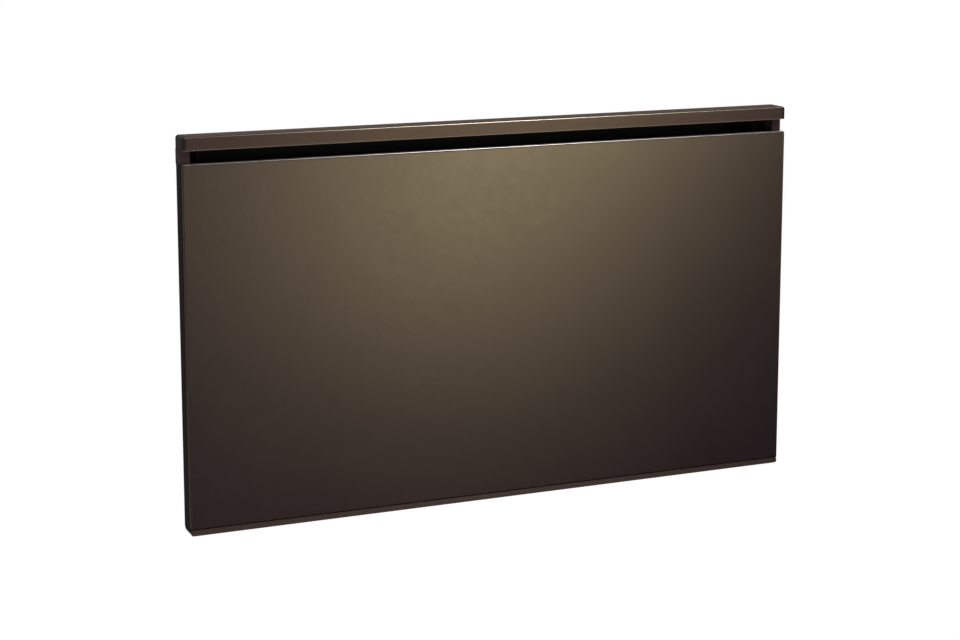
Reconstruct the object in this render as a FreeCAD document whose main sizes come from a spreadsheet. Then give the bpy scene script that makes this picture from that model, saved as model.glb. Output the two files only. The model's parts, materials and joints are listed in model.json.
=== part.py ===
import FreeCAD
import Part
import Sketcher
import math
import os
from types import SimpleNamespace

# Glass convector heater for a wall, in millimetres.
# X runs to the right seen from the front, the glass faces -Y, the wall is the plane y = 0, Z is up.
# The origin is the middle of the wall screw pattern, on the wall.

driving_sizes = {
    "heater_width": 740,
    "heater_height": 440,
    "slab_depth": 28,
    "casing_depth": 52,
    "wall_gap": 14,
    "sheet": 1,
    "bend_radius": 2,
    "fit_gap": 0.2,
    "running_gap": 0.05,
    "glass_thickness": 6,
    "glass_corner": 2.5,
    "glass_arris": 0.8,
    "glass_gap": 1.2,
    "glass_lap": 1,
    "bond_thickness": 1,
    "bond_width": 14,
    "bond_inset": 2,
    "bond_end_gap": 10,
    "pad_length": 30,
    "pad_offset": 150,
    "cap_height": 15,
    "cap_wall": 1.5,
    "cap_edge": 1.5,
    "cap_end": 4,
    "cap_end_corner": 3.5,
    "cap_plug_length": 10,
    "cap_plug_rise": 6,
    "slot_height": 14.5,
    "spacer_width": 11,
    "spacer_setback": 10.5,
    "lip_height": 4.5,
    "lip_nose": 2,
    "lip_corner": 4,
    "rail_heel": 4,
    "heel_round": 14,
    "lip_groove_depth": 2,
    "lip_groove_inset": 8,
    "upstand_sheet": 1.5,
    "front_upstand": 18,
    "rear_upstand": 20.5,
    "rail_flange": 22,
    "rail_drop": 14,
    "rail_rear_lip": 6,
    "backing_inset": 10,
    "backing_gap": 1.5,
    "casing_inset": 24,
    "casing_rise": 15,
    "duct_radius": 42,
    "deflector_tail": 15,
    "deflector_setback": 12,
    "side_flange": 22,
    "side_leg_gap": 1,
    "panel_flange": 12,
    "panel_flange_gap": 17,
    "grille_flange": 15,
    "grille_rear_flange": 13,
    "inlet_width": 4,
    "inlet_length": 34,
    "inlet_corner": 1.5,
    "inlet_pitch": 10.5,
    "inlet_margin": 18,
    "shield_sheet": 0.6,
    "shield_height": 174,
    "shield_side_gap": 2,
    "element_setback": 16,
    "element_rise": 80,
    "fin_hub_radius": 9,
    "fin_tip_radius": 24,
    "fin_root": 3.2,
    "fin_tip": 1.8,
    "rod_radius": 4.2,
    "rod_pin_radius": 1.6,
    "rod_pin_length": 9,
    "bush_flange_radius": 10,
    "bush_flange": 3,
    "bush_neck_radius": 7,
    "bush_neck": 4,
    "bush_gap": 4.5,
    "bracket_inset": 22,
    "bracket_foot": 18,
    "bracket_half": 25,
    "bracket_front": 20,
    "control_width": 48,
    "partition_drop": 39,
    "partition_gap": 0.5,
    "partition_flange": 14,
    "partition_flange_rise": 40,
    "control_line": 21,
    "thermostat_drop": 50,
    "thermostat_side": 34,
    "thermostat_corner": 2,
    "thermostat_depth": 25,
    "thermostat_neck_radius": 5,
    "thermostat_neck": 5,
    "nut_half_flat": 7,
    "nut_height": 2.5,
    "shaft_radius": 3,
    "shaft_inside": 20,
    "shaft_seat": 5.2,
    "shaft_flat": 2.2,
    "shaft_end_gap": 0.3,
    "knob_radius": 15,
    "knob_height": 13,
    "knob_gap": 0.8,
    "knob_recess_radius": 10,
    "knob_recess": 5,
    "knob_edge": 1.2,
    "knob_flute_radius": 2.4,
    "pointer_width": 1.6,
    "pointer_depth": 0.8,
    "switch_drop": 50,
    "bezel_half_width": 8,
    "bezel_half_height": 13.5,
    "bezel_thickness": 2,
    "bezel_corner": 1.5,
    "barrel_half_width": 6.6,
    "barrel_half_height": 11.8,
    "barrel_depth": 21,
    "blade_length": 8,
    "blade_half_width": 3.2,
    "blade_half_thickness": 0.4,
    "blade_offset": 6,
    "rocker_half_width": 5,
    "rocker_half_height": 9.2,
    "rocker_well_gap": 0.8,
    "rocker_side_gap": 0.3,
    "rocker_well_depth": 12,
    "rocker_pivot_depth": 1.6,
    "rocker_dip": 4.2,
    "rocker_crest": 5.6,
    "rocker_keel": 3,
    "rocker_skirt": 2,
    "rocker_tilt": 7,
    "trunnion_radius": 1.2,
    "trunnion_length": 0.9,
    "lamp_drop": 32,
    "lamp_radius": 4.5,
    "lamp_dome": 2.2,
    "lamp_barrel_radius": 3.6,
    "lamp_barrel": 16,
    "lamp_edge": 1.4,
    "gland_rise": 40,
    "gland_bore_radius": 4,
    "gland_neck_radius": 8,
    "gland_neck": 9,
    "gland_flange_radius": 11,
    "gland_flange": 3,
    "gland_dome_radius": 8.5,
    "gland_dome": 11,
    "gland_edge": 1.5,
    "gland_nut_half_flat": 10,
    "gland_nut": 4,
    "terminal_rise": 100,
    "terminal_pole": 11,
    "terminal_depth": 18,
    "terminal_width": 20,
    "terminal_waist": 3,
    "terminal_bore_radius": 1.7,
    "terminal_base": 5,
    "cutout_rise": 155,
    "cutout_stem": 5,
    "cutout_radius": 8,
    "cutout_depth": 7,
    "cutout_flange_radius": 11,
    "cutout_flange": 1.2,
    "wall_spacing_x": 400,
    "wall_spacing_z": 160,
    "wall_hole_radius": 3.25,
    "bracket_sheet": 1.5,
    "web_half": 17,
    "web_tail": 20,
    "lock_drop": 29,
    "flange_stop": 15,
    "hook_half": 12,
    "hook_rise": 65,
    "hook_reach": 20.5,
    "hook_lip": 11.5,
    "hook_slot_gap": 1,
    "hook_slot_drop": 14,
    "shelf_half": 14,
    "shelf_reach": 13,
    "lock_axis": 7,
    "lock_pin_radius": 4,
    "lock_head_radius": 6,
    "lock_head": 3,
    "lock_gap": 0.3,
    "lock_cam": 6.5,
    "lock_cam_half": 4,
    "lock_cam_corner": 3,
    "lock_cam_reach": 15,
    "lock_slot_back": 6,
    "lock_slot_side": 17.5,
    "lock_slot_gap": 2,
    "driver_slot": 1.4,
    "bar_half_spacing": 40,
    "bar_half": 15,
    "bar_flange": 6,
    "bar_overlap": 10,
    "bumper_inset": 75,
    "bumper_rise": 30,
    "bumper_radius": 8,
    "bumper_stem_radius": 3,
    "bumper_stem": 3,
    "bumper_barb_radius": 4.2,
    "screw_radius": 1.75,
    "screw_hole_radius": 1.9,
    "screw_head_radius": 3.2,
    "screw_head": 1.8,
    "screw_length": 7,
    "screw_margin": 25,
    "side_screw_margin": 40,
    "rear_screw_margin": 75,
    "spacer_screw_length": 21,
    "spacer_screw_inset": 7,
}

doc = FreeCAD.newDocument("glass_convector_heater")
sheet_cells = doc.addObject("Spreadsheet::Sheet", "Sizes")


# A length that knows its number and the spreadsheet expression that gives it.
class Size:
    def __init__(self, number, text):
        self.number = number
        self.text = text

    def __add__(self, other):
        other = as_size(other)
        return Size(self.number + other.number, f"({self.text} + {other.text})")

    def __sub__(self, other):
        other = as_size(other)
        return Size(self.number - other.number, f"({self.text} - {other.text})")

    def __mul__(self, factor):
        factor = as_size(factor)
        return Size(self.number * factor.number, f"({self.text} * {factor.text})")

    def __truediv__(self, factor):
        factor = as_size(factor)
        return Size(self.number / factor.number, f"({self.text} / {factor.text})")

    def __neg__(self):
        return Size(-self.number, f"(-1 * {self.text})")


def as_size(value):
    if isinstance(value, Size):
        return value
    return Size(value, str(value))


def fill_sheet():
    named = {}
    for row, (name, number) in enumerate(driving_sizes.items(), start=1):
        sheet_cells.set(f"A{row}", name.replace("_", " "))
        sheet_cells.set(f"B{row}", str(number))
        sheet_cells.setAlias(f"B{row}", name)
        named[name] = Size(number, f"Sizes.{name}")
    doc.recompute()
    return SimpleNamespace(**named)


s = fill_sheet()
sub_parts = []


# Sketch drawing

def fix_point(sketch, geometry, position, u, v):
    for kind, size in (("DistanceX", u), ("DistanceY", v)):
        index = sketch.addConstraint(Sketcher.Constraint(kind, -1, 1, geometry, position, size.number))
        sketch.setExpression(f"Constraints[{index}]", size.text)


def fix_radius(sketch, geometry, radius):
    index = sketch.addConstraint(Sketcher.Constraint("Radius", geometry, radius.number))
    sketch.setExpression(f"Constraints[{index}]", radius.text)


def circle(u, v, radius):
    u = as_size(u)
    v = as_size(v)

    def draw(sketch):
        centre = FreeCAD.Vector(u.number, v.number, 0)
        ring = sketch.addGeometry(Part.Circle(centre, FreeCAD.Vector(0, 0, 1), radius.number))
        fix_point(sketch, ring, 3, u, v)
        fix_radius(sketch, ring, radius)

    return draw


def direction(start, end):
    du = end[0].number - start[0].number
    dv = end[1].number - start[1].number
    length = math.hypot(du, dv)
    return round(du / length), round(dv / length)


# Ends of every straight or round stretch: a corner with a radius becomes the two ends of its arc.
def stretches(vertices):
    ends = []
    for index, vertex in enumerate(vertices):
        u, v = vertex[0], vertex[1]
        if len(vertex) == 2:
            ends.append((u, v, None, None))
            continue
        radius = vertex[2]
        enter = direction(vertices[index - 1], vertex)
        leave = direction(vertex, vertices[(index + 1) % len(vertices)])
        turns_left = enter[0] * leave[1] - enter[1] * leave[0] > 0
        ends.append((u - radius * enter[0], v - radius * enter[1], radius, turns_left))
        ends.append((u + radius * leave[0], v + radius * leave[1], None, None))
    return ends


def arc_between(start, end, radius, turns_left):
    middle = (start + end) * 0.5
    half = (end - start) * 0.5
    across = FreeCAD.Vector(-half.y, half.x, 0).normalize()
    rise = math.sqrt(max(radius ** 2 - half.Length ** 2, 0))
    centre = middle + across * rise if turns_left else middle - across * rise
    first, last = (start, end) if turns_left else (end, start)
    ring = Part.Circle(centre, FreeCAD.Vector(0, 0, 1), radius)
    return Part.ArcOfCircle(ring, ring.parameter(first), ring.parameter(last))


# A closed outline. A vertex is (u, v), or (u, v, radius) at a rounded square corner.
def outline(*corners):
    vertices = [tuple(as_size(value) for value in corner) for corner in corners]

    def draw(sketch):
        ends = stretches(vertices)
        drawn = []
        for index, (u, v, radius, turns_left) in enumerate(ends):
            after = ends[(index + 1) % len(ends)]
            start = FreeCAD.Vector(u.number, v.number, 0)
            end = FreeCAD.Vector(after[0].number, after[1].number, 0)
            if radius is None:
                geometry = sketch.addGeometry(Part.LineSegment(start, end))
                drawn.append((geometry, 1, 2))
                continue
            geometry = sketch.addGeometry(arc_between(start, end, radius.number, turns_left))
            drawn.append((geometry, 1, 2) if turns_left else (geometry, 2, 1))
        for index, (geometry, first, last) in enumerate(drawn):
            after = drawn[(index + 1) % len(drawn)]
            sketch.addConstraint(Sketcher.Constraint("Coincident", geometry, last, after[0], after[1]))
        for (geometry, first, last), (u, v, radius, turns_left) in zip(drawn, ends):
            fix_point(sketch, geometry, first, u, v)
            if radius is not None:
                fix_radius(sketch, geometry, radius)

    return draw


def rectangle(u_span, v_span, radius=None):
    corner = () if radius is None else (radius,)
    return outline(
        (u_span[0], v_span[0], *corner),
        (u_span[1], v_span[0], *corner),
        (u_span[1], v_span[1], *corner),
        (u_span[0], v_span[1], *corner),
    )


# Bodies and features

def new_body(label):
    body = doc.addObject("PartDesign::Body", label)
    body.Label = label
    sub_parts.append(body)
    return body


def origin_feature(body, role):
    return next(feature for feature in body.Origin.OriginFeatures if feature.Role == role)


def sketch_on(body, plane, level, shapes):
    sketch = body.newObject("Sketcher::SketchObject", f"{body.Name}_sketch")
    sketch.AttachmentSupport = [(origin_feature(body, f"{plane}_Plane"), "")]
    sketch.MapMode = "FlatFace"
    sketch.setExpression("AttachmentOffset.Base.z", level.text)
    for draw in shapes:
        draw(sketch)
    return sketch


# The XZ plane faces -Y, so a stretch along Y starts from its larger end.
def feature_along(body, kind, plane, span, shapes):
    low, high = as_size(span[0]), as_size(span[1])
    level = -high if plane == "XZ" else low
    feature = body.newObject(kind, f"{body.Name}_step")
    feature.Profile = sketch_on(body, plane, level, shapes)
    feature.setExpression("Length", (high - low).text)
    return feature


def pad(body, plane, span, *shapes):
    feature_along(body, "PartDesign::Pad", plane, span, shapes)
    doc.recompute()


def cut(body, plane, span, *shapes):
    before = body.Shape.Volume
    pocket = feature_along(body, "PartDesign::Pocket", plane, span, shapes)
    pocket.Reversed = True
    doc.recompute()
    if body.Shape.Volume >= before:
        raise RuntimeError(f"a cut in {body.Label} removes nothing")
    return pocket


# Turns an outline of (place along X, radius) corners about the body's own X axis.
def turn(body, *shapes):
    revolution = body.newObject("PartDesign::Revolution", f"{body.Name}_turned")
    revolution.Profile = sketch_on(body, "XZ", as_size(0), shapes)
    revolution.ReferenceAxis = (origin_feature(body, "X_Axis"), [""])
    revolution.Angle = 360
    doc.recompute()


def round_edges(body, radius, wanted):
    base = body.Tip
    names = [f"Edge{number}" for number, edge in enumerate(base.Shape.Edges, start=1) if wanted(edge)]
    fillet = body.newObject("PartDesign::Fillet", f"{body.Name}_round")
    fillet.Base = (base, names)
    fillet.setExpression("Radius", radius.text)
    doc.recompute()


def repeat_along(body, feature, axis, length, count):
    pattern = body.newObject("PartDesign::LinearPattern", f"{body.Name}_row")
    pattern.Originals = [feature]
    pattern.Direction = (origin_feature(body, f"{axis}_Axis"), [""])
    pattern.setExpression("Length", length.text)
    pattern.Occurrences = count
    body.Tip = pattern
    doc.recompute()


def repeat_around(body, feature, axis, count):
    pattern = body.newObject("PartDesign::PolarPattern", f"{body.Name}_ring")
    pattern.Originals = [feature]
    pattern.Axis = (origin_feature(body, f"{axis}_Axis"), [""])
    pattern.Angle = 360
    pattern.Occurrences = count
    body.Tip = pattern
    doc.recompute()


def place(body, x, y, z):
    for name, size in (("x", x), ("y", y), ("z", z)):
        body.setExpression(f"Placement.Base.{name}", as_size(size).text)


def lies_at(edge, axis, size):
    near = 1e-4
    box = edge.BoundBox
    low = getattr(box, f"{axis.upper()}Min")
    high = getattr(box, f"{axis.upper()}Max")
    return abs(low - size.number) < near and abs(high - size.number) < near


# The stretch from inner to outer on one side of the middle plane, low end first.
def sided(side, inner, outer):
    return (inner, outer) if side > 0 else (-outer, -inner)


def both_ways(half):
    return (-half, half)


# Screws of one group: heads stand on the seat towards the head side, shanks run the other way.
def screws(body, plane, seat, head_side, centres, length):
    far = seat + s.screw_head * head_side
    tip = seat - length * head_side
    head_span = (seat, far) if head_side > 0 else (far, seat)
    shank_span = (tip, seat) if head_side > 0 else (seat, tip)
    pad(body, plane, head_span, *[circle(u, v, s.screw_head_radius) for u, v in centres])
    pad(body, plane, shank_span, *[circle(u, v, s.screw_radius) for u, v in centres])


def screw_holes(body, plane, span, centres):
    cut(body, plane, span, *[circle(u, v, s.screw_hole_radius) for u, v in centres])


def spread(low, high, count):
    step = (high - low) / (count - 1)
    return [low + step * index for index in range(count)]


sides = {"left": -1, "right": 1}

# Planes and heights that several pieces share

half_width = s.heater_width / 2
front = -(s.slab_depth + s.casing_depth + s.wall_gap)
slab_back = front + s.slab_depth
casing_back = -s.wall_gap

# The wall screw pattern sits midway between the hooks and the lock shelves.
hook_above_bottom = s.casing_rise + s.hook_rise
shelf_above_bottom = s.heater_height - s.cap_height + s.sheet - s.duct_radius - s.lock_drop
bottom = -((hook_above_bottom + shelf_above_bottom) / 2)
top = bottom + s.heater_height
hook_z = bottom + hook_above_bottom
shelf_z = bottom + shelf_above_bottom

lip_top = bottom + s.lip_height
glass_bottom = lip_top + s.glass_gap
cap_bottom = top - s.cap_height
glass_top = cap_bottom - s.slot_height
frame_top = glass_top - s.glass_lap
glass_back = front + s.glass_thickness
frame_front = glass_back + s.bond_thickness
backing_front = frame_front + s.sheet
backing_back = backing_front + s.sheet
rail_inner = half_width - s.rail_flange
frame_half = rail_inner - s.sheet
bend_inside = s.bend_radius - s.sheet
heel_top = bottom + s.heel_round
heel_front = slab_back - s.heel_round

plate_outer = half_width - s.casing_inset
plate_inner = plate_outer - s.sheet
panel_half = plate_inner - s.fit_gap
casing_bottom = bottom + s.casing_rise
casing_top = cap_bottom + s.sheet
panel_inner = casing_back - s.sheet
duct_z = casing_top - s.duct_radius

front_upstand_back = backing_back + s.upstand_sheet
rear_upstand_front = slab_back - s.upstand_sheet
shield_back = front_upstand_back + s.shield_sheet

element_y = slab_back + s.element_setback
element_z = bottom + s.element_rise
element_bracket_x = -(panel_half - s.bracket_inset)
partition_x = plate_inner - s.control_width
partition_top = duct_z - s.deflector_tail - s.partition_drop
control_y = slab_back + s.control_line
thermostat_z = partition_top - s.thermostat_drop
switch_z = thermostat_z - s.switch_drop
lamp_z = switch_z - s.lamp_drop
gland_z = casing_bottom + s.gland_rise
terminal_z = casing_bottom + s.terminal_rise
cutout_z = casing_bottom + s.cutout_rise
upright_x = s.wall_spacing_x / 2
bumper_x = panel_half - s.bumper_inset
bumper_z = casing_bottom + s.bumper_rise

# Screw rows that several pieces share

casing_screw_count = 4
grille_screw_count = 4
rear_screw_count = 4
side_screw_count = 3
casing_screw_x = half_width - s.casing_inset / 2
casing_screw_z = spread(casing_bottom + s.screw_margin, frame_top - s.screw_margin, casing_screw_count)
grille_screw_z = casing_bottom + s.grille_flange / 3
grille_screw_reach = frame_half - s.side_screw_margin
grille_screw_x = spread(-grille_screw_reach, grille_screw_reach, grille_screw_count)
grille_screws = [(x, grille_screw_z) for x in grille_screw_x]
rear_screw_reach = panel_half - s.rear_screw_margin
rear_screw_x = spread(-rear_screw_reach, rear_screw_reach, rear_screw_count)
rear_low_screws = [(x, casing_bottom + s.grille_rear_flange / 2) for x in rear_screw_x]
rear_high_screws = [(x, duct_z - s.deflector_tail / 2) for x in rear_screw_x]
side_screw_y = panel_inner - s.panel_flange / 2
side_screw_z = spread(casing_bottom + s.side_screw_margin, duct_z - s.side_screw_margin, side_screw_count)
side_screw_places = [(side_screw_y, z) for z in side_screw_z]
foot_screw_x = element_bracket_x + s.sheet + s.bracket_foot / 2
foot_screws = [(foot_screw_x, z) for z in (element_z - s.bracket_half / 2, element_z + s.bracket_half / 2)]
partition_screw_x = partition_x + s.sheet + s.partition_flange / 2
partition_screws = [(partition_screw_x, z) for z in (terminal_z, thermostat_z)]
spacer_screw_x = half_width - s.spacer_screw_inset
spacer_screw_y = (front + s.spacer_setback + slab_back) / 2
spacer_screw_places = [(spacer_screw_x * side, spacer_screw_y) for side in sides.values()]


# Glass front

def make_glass_panel():
    body = new_body("glass_panel")
    sheet = rectangle(both_ways(half_width), (glass_bottom, glass_top), s.glass_corner)
    pad(body, "XZ", (front, glass_back), sheet)
    round_edges(body, s.glass_arris, lambda edge: lies_at(edge, "y", front))


def make_glass_bond_strips():
    body = new_body("glass_bond_strips")
    outer = half_width - s.bond_inset
    heights = (lip_top + s.bond_end_gap, frame_top - s.bond_end_gap)
    strips = [rectangle(sided(side, outer - s.bond_width, outer), heights) for side in sides.values()]
    pad(body, "XZ", (glass_back, frame_front), *strips)


def make_glass_setting_pads():
    body = new_body("glass_setting_pads")
    half = s.pad_length / 2
    depth = (front + s.lip_nose, glass_back)
    spans = [sided(side, s.pad_offset - half, s.pad_offset + half) for side in sides.values()]
    pads = [rectangle(span, depth) for span in spans]
    pad(body, "XY", (lip_top, glass_bottom), *pads)


# Frame behind the glass

# What the round lower rear corner takes off each end of the slab, seen from the side.
def heel_waste():
    reach = s.heel_round * 2
    return outline(
        (slab_back - reach, bottom - s.heel_round),
        (slab_back + s.heel_round, bottom - s.heel_round),
        (slab_back + s.heel_round, bottom + reach),
        (slab_back, bottom + reach),
        (slab_back, bottom, s.heel_round),
        (slab_back - reach, bottom),
    )


def make_side_rail(name, side):
    body = new_body(f"side_rail_{name}")
    outer = half_width * side
    inner = rail_inner * side
    web = outer - s.sheet * side
    channel = outline(
        (inner, frame_front),
        (outer, frame_front, s.bend_radius),
        (outer, slab_back, s.bend_radius),
        (inner, slab_back),
        (inner, slab_back - s.sheet),
        (web, slab_back - s.sheet, bend_inside),
        (web, backing_front, bend_inside),
        (inner, backing_front),
    )
    pad(body, "XY", (lip_top, frame_top - s.sheet), channel)
    cut(body, "YZ", sided(side, rail_inner, half_width), heel_waste())
    flange_end = sided(side, rail_inner, half_width - s.bend_radius)
    heel_room = rectangle(flange_end, (lip_top, heel_top + s.fit_gap))
    cut(body, "XZ", (slab_back - s.sheet, slab_back), heel_room)
    casing_holes = [(casing_screw_x * side, z) for z in casing_screw_z]
    screw_holes(body, "XZ", (slab_back - s.sheet, slab_back), casing_holes)


def make_top_rail():
    body = new_body("top_rail")
    floor = frame_top - s.sheet
    pad(body, "XY", (floor, frame_top), rectangle(both_ways(half_width), (frame_front, slab_back)))
    front_drop = rectangle(both_ways(frame_half), (floor - s.rail_drop, floor))
    pad(body, "XZ", (frame_front, backing_front), front_drop)
    rear_lip = rectangle(both_ways(frame_half), (floor - s.rail_rear_lip, floor))
    pad(body, "XZ", (slab_back - s.sheet, slab_back), rear_lip)
    screw_holes(body, "XY", (floor, frame_top), spacer_screw_places)


def make_bottom_rail():
    body = new_body("bottom_rail")
    section = outline(
        (front, bottom, s.lip_nose),
        (slab_back, bottom, s.rail_heel),
        (slab_back, lip_top),
        (front, lip_top, s.lip_nose),
    )
    pad(body, "YZ", both_ways(half_width), section)
    corner = s.lip_corner
    kept = outline(
        (-half_width, bottom, corner),
        (half_width, bottom, corner),
        (half_width, lip_top + corner),
        (-half_width, lip_top + corner),
    )
    around = rectangle(both_ways(half_width + corner), (bottom - corner, lip_top + corner * 2))
    cut(body, "XZ", (front, slab_back), around, kept)
    groove_depth = (front + s.lip_groove_inset, slab_back - s.lip_groove_inset)
    groove = rectangle(both_ways(rail_inner - s.lip_groove_inset), groove_depth)
    cut(body, "XY", (bottom, bottom + s.lip_groove_depth), groove)
    front_wall = rectangle(both_ways(frame_half), (lip_top, lip_top + s.front_upstand))
    pad(body, "XZ", (backing_back, front_upstand_back), front_wall)
    rear_wall = rectangle(both_ways(frame_half), (lip_top, lip_top + s.rear_upstand))
    pad(body, "XZ", (rear_upstand_front, slab_back), rear_wall)
    screw_holes(body, "XZ", (rear_upstand_front, slab_back), grille_screws)
    heel = rectangle((heel_front, slab_back), (lip_top, heel_top))
    for side in sides.values():
        pad(body, "YZ", sided(side, rail_inner, half_width - s.bend_radius - s.fit_gap), heel)
        cut(body, "YZ", sided(side, rail_inner, half_width), heel_waste())


def make_backing_plate():
    body = new_body("backing_plate")
    heights = (lip_top + s.backing_gap, frame_top - s.sheet - s.fit_gap)
    plate = rectangle(both_ways(half_width - s.backing_inset), heights)
    pad(body, "XZ", (backing_front, backing_back), plate)


# Cap over the outlet slot

def make_top_cap():
    body = new_body("top_cap")
    tube = outline(
        (front, cap_bottom),
        (slab_back, cap_bottom),
        (slab_back, top, s.cap_edge),
        (front, top, s.cap_edge),
    )
    hollow = rectangle(
        (front + s.cap_wall, slab_back - s.cap_wall), (cap_bottom + s.cap_wall, top - s.cap_wall)
    )
    pad(body, "YZ", both_ways(half_width - s.cap_end), tube, hollow)
    screw_holes(body, "XY", (cap_bottom, cap_bottom + s.cap_wall), spacer_screw_places)


def make_cap_end(name, side):
    body = new_body(f"cap_end_{name}")
    inner = (half_width - s.cap_end) * side
    outer = half_width * side
    cover = outline((inner, cap_bottom), (outer, cap_bottom), (outer, top, s.cap_end_corner), (inner, top))
    pad(body, "XZ", (front, slab_back), cover)
    round_edges(
        body,
        s.cap_edge,
        lambda edge: (lies_at(edge, "y", front) or lies_at(edge, "y", slab_back))
        and not lies_at(edge, "x", inner)
        and not lies_at(edge, "z", cap_bottom),
    )
    wall = s.cap_wall + s.fit_gap
    plug = rectangle((front + wall, slab_back - wall), (cap_bottom + s.cap_plug_rise, top - wall))
    pad(body, "YZ", sided(side, half_width - s.cap_end - s.cap_plug_length, half_width - s.cap_end), plug)


def make_slot_spacer(name, side):
    body = new_body(f"slot_spacer_{name}")
    across = sided(side, half_width - s.spacer_width, half_width)
    block = rectangle(across, (front + s.spacer_setback, slab_back))
    screw_bore = circle(spacer_screw_x * side, spacer_screw_y, s.screw_hole_radius)
    pad(body, "XY", (frame_top, cap_bottom), block, screw_bore)


def make_spacer_screws():
    body = new_body("spacer_screws")
    screws(body, "XY", frame_top - s.sheet, -1, spacer_screw_places, s.spacer_screw_length)


# Casing behind the slab

def make_side_plate(name, side):
    body = new_body(f"side_plate_{name}")
    plate = outline(
        (slab_back, casing_bottom),
        (casing_back, casing_bottom),
        (casing_back, casing_top, s.duct_radius),
        (slab_back, casing_top),
    )
    thickness = sided(side, plate_inner, plate_outer)
    pad(body, "YZ", thickness, plate)
    screw_holes(body, "YZ", thickness, side_screw_places)
    return body


# Welded to the outside of the side plate, with its short leg clear of the knob.
def make_side_angle(name, side):
    body = new_body(f"side_angle_{name}")
    inner = plate_outer * side
    outer = (plate_outer + s.side_flange) * side
    leg_end = slab_back + s.control_line - s.knob_radius - s.side_leg_gap
    angle = outline(
        (inner, slab_back),
        (outer, slab_back),
        (outer, slab_back + s.sheet),
        (inner + s.sheet * side, slab_back + s.sheet),
        (inner + s.sheet * side, leg_end),
        (inner, leg_end),
    )
    pad(body, "XY", (casing_bottom, cap_bottom), angle)
    flange_screws = [(casing_screw_x * side, z) for z in casing_screw_z]
    screw_holes(body, "XZ", (slab_back, slab_back + s.sheet), flange_screws)


def cut_control_holes(body):
    half_width_hole = s.barrel_half_width + s.fit_gap
    half_height_hole = s.barrel_half_height + s.fit_gap
    switch_hole = rectangle(
        (control_y - half_width_hole, control_y + half_width_hole),
        (switch_z - half_height_hole, switch_z + half_height_hole),
    )
    cut(
        body,
        "YZ",
        (plate_inner, plate_outer),
        circle(control_y, thermostat_z, s.thermostat_neck_radius + s.fit_gap),
        circle(control_y, lamp_z, s.lamp_barrel_radius + s.fit_gap),
        circle(control_y, gland_z, s.gland_neck_radius + s.fit_gap),
        switch_hole,
    )


def lock_cam_heights():
    cam_top = shelf_z - s.bracket_sheet - s.lock_gap
    return (cam_top - s.lock_cam, cam_top)


def make_rear_panel():
    body = new_body("rear_panel")
    thickness = (panel_inner, casing_back)
    pad(body, "XZ", thickness, rectangle(both_ways(panel_half), (casing_bottom, duct_z)))
    flange_heights = (casing_bottom + s.panel_flange_gap, duct_z - s.deflector_tail - s.fit_gap)
    for side in sides.values():
        flange_span = sided(side, panel_half - s.sheet, panel_half)
        pad(body, "YZ", flange_span, rectangle((panel_inner - s.panel_flange, panel_inner), flange_heights))
        screw_holes(body, "YZ", flange_span, side_screw_places)
    slots = []
    cam_bottom, cam_top = lock_cam_heights()
    hook_half = s.hook_half + s.hook_slot_gap
    for side in sides.values():
        hook_x = sided(side, upright_x - hook_half, upright_x + hook_half)
        lock_x = sided(side, upright_x - s.lock_slot_side, upright_x + s.lock_slot_back)
        slots.append(rectangle(hook_x, (hook_z - s.hook_slot_drop, hook_z)))
        slots.append(rectangle(lock_x, (cam_bottom - s.lock_slot_gap, cam_top + s.lock_slot_gap)))
        slots.append(circle(bumper_x * side, bumper_z, s.bumper_stem_radius + s.fit_gap))
    cut(body, "XZ", thickness, *slots)
    screw_holes(body, "XZ", thickness, rear_low_screws + rear_high_screws + foot_screws + partition_screws)


def make_bottom_grille():
    body = new_body("bottom_grille")
    floor = casing_bottom + s.sheet
    tray = outline(
        (slab_back, casing_bottom, s.bend_radius),
        (panel_inner, casing_bottom, s.bend_radius),
        (panel_inner, casing_bottom + s.grille_rear_flange),
        (panel_inner - s.sheet, casing_bottom + s.grille_rear_flange),
        (panel_inner - s.sheet, floor, bend_inside),
        (slab_back + s.sheet, floor, bend_inside),
        (slab_back + s.sheet, casing_bottom + s.grille_flange),
        (slab_back, casing_bottom + s.grille_flange),
    )
    pad(body, "YZ", both_ways(panel_half), tray)
    screw_holes(body, "XZ", (slab_back, slab_back + s.sheet), grille_screws)
    screw_holes(body, "XZ", (panel_inner - s.sheet, panel_inner), rear_low_screws)
    first = -(panel_half - s.inlet_margin)
    middle = (slab_back + panel_inner) / 2
    inlet_depth = (middle - s.inlet_length / 2, middle + s.inlet_length / 2)
    inlet = rectangle((first, first + s.inlet_width), inlet_depth, s.inlet_corner)
    first_inlet = cut(body, "XY", (casing_bottom, floor), inlet)
    room = partition_x - s.inlet_margin - s.inlet_width - first
    gaps = math.floor(room.number / s.inlet_pitch.number)
    repeat_along(body, first_inlet, "X", s.inlet_pitch * gaps, gaps + 1)


def make_top_deflector():
    body = new_body("top_deflector")
    tail_end = duct_z - s.deflector_tail
    tongue_end = front + s.deflector_setback
    bent_sheet = outline(
        (panel_inner, tail_end),
        (panel_inner, cap_bottom, s.duct_radius - s.sheet),
        (tongue_end, cap_bottom),
        (tongue_end, cap_bottom - s.sheet),
        (panel_inner - s.sheet, cap_bottom - s.sheet, s.duct_radius - s.sheet * 2),
        (panel_inner - s.sheet, tail_end),
    )
    pad(body, "YZ", both_ways(panel_half), bent_sheet)
    screw_holes(body, "XZ", (panel_inner - s.sheet, panel_inner), rear_high_screws)


def make_casing_screws():
    body = new_body("casing_screws")
    side_rows = [(casing_screw_x * side, z) for side in sides.values() for z in casing_screw_z]
    screws(body, "XZ", slab_back + s.sheet, 1, side_rows + grille_screws, s.screw_length)


def make_rear_screws():
    body = new_body("rear_screws")
    centres = rear_low_screws + rear_high_screws + foot_screws + partition_screws
    screws(body, "XZ", casing_back, 1, centres, s.screw_length)


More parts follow.
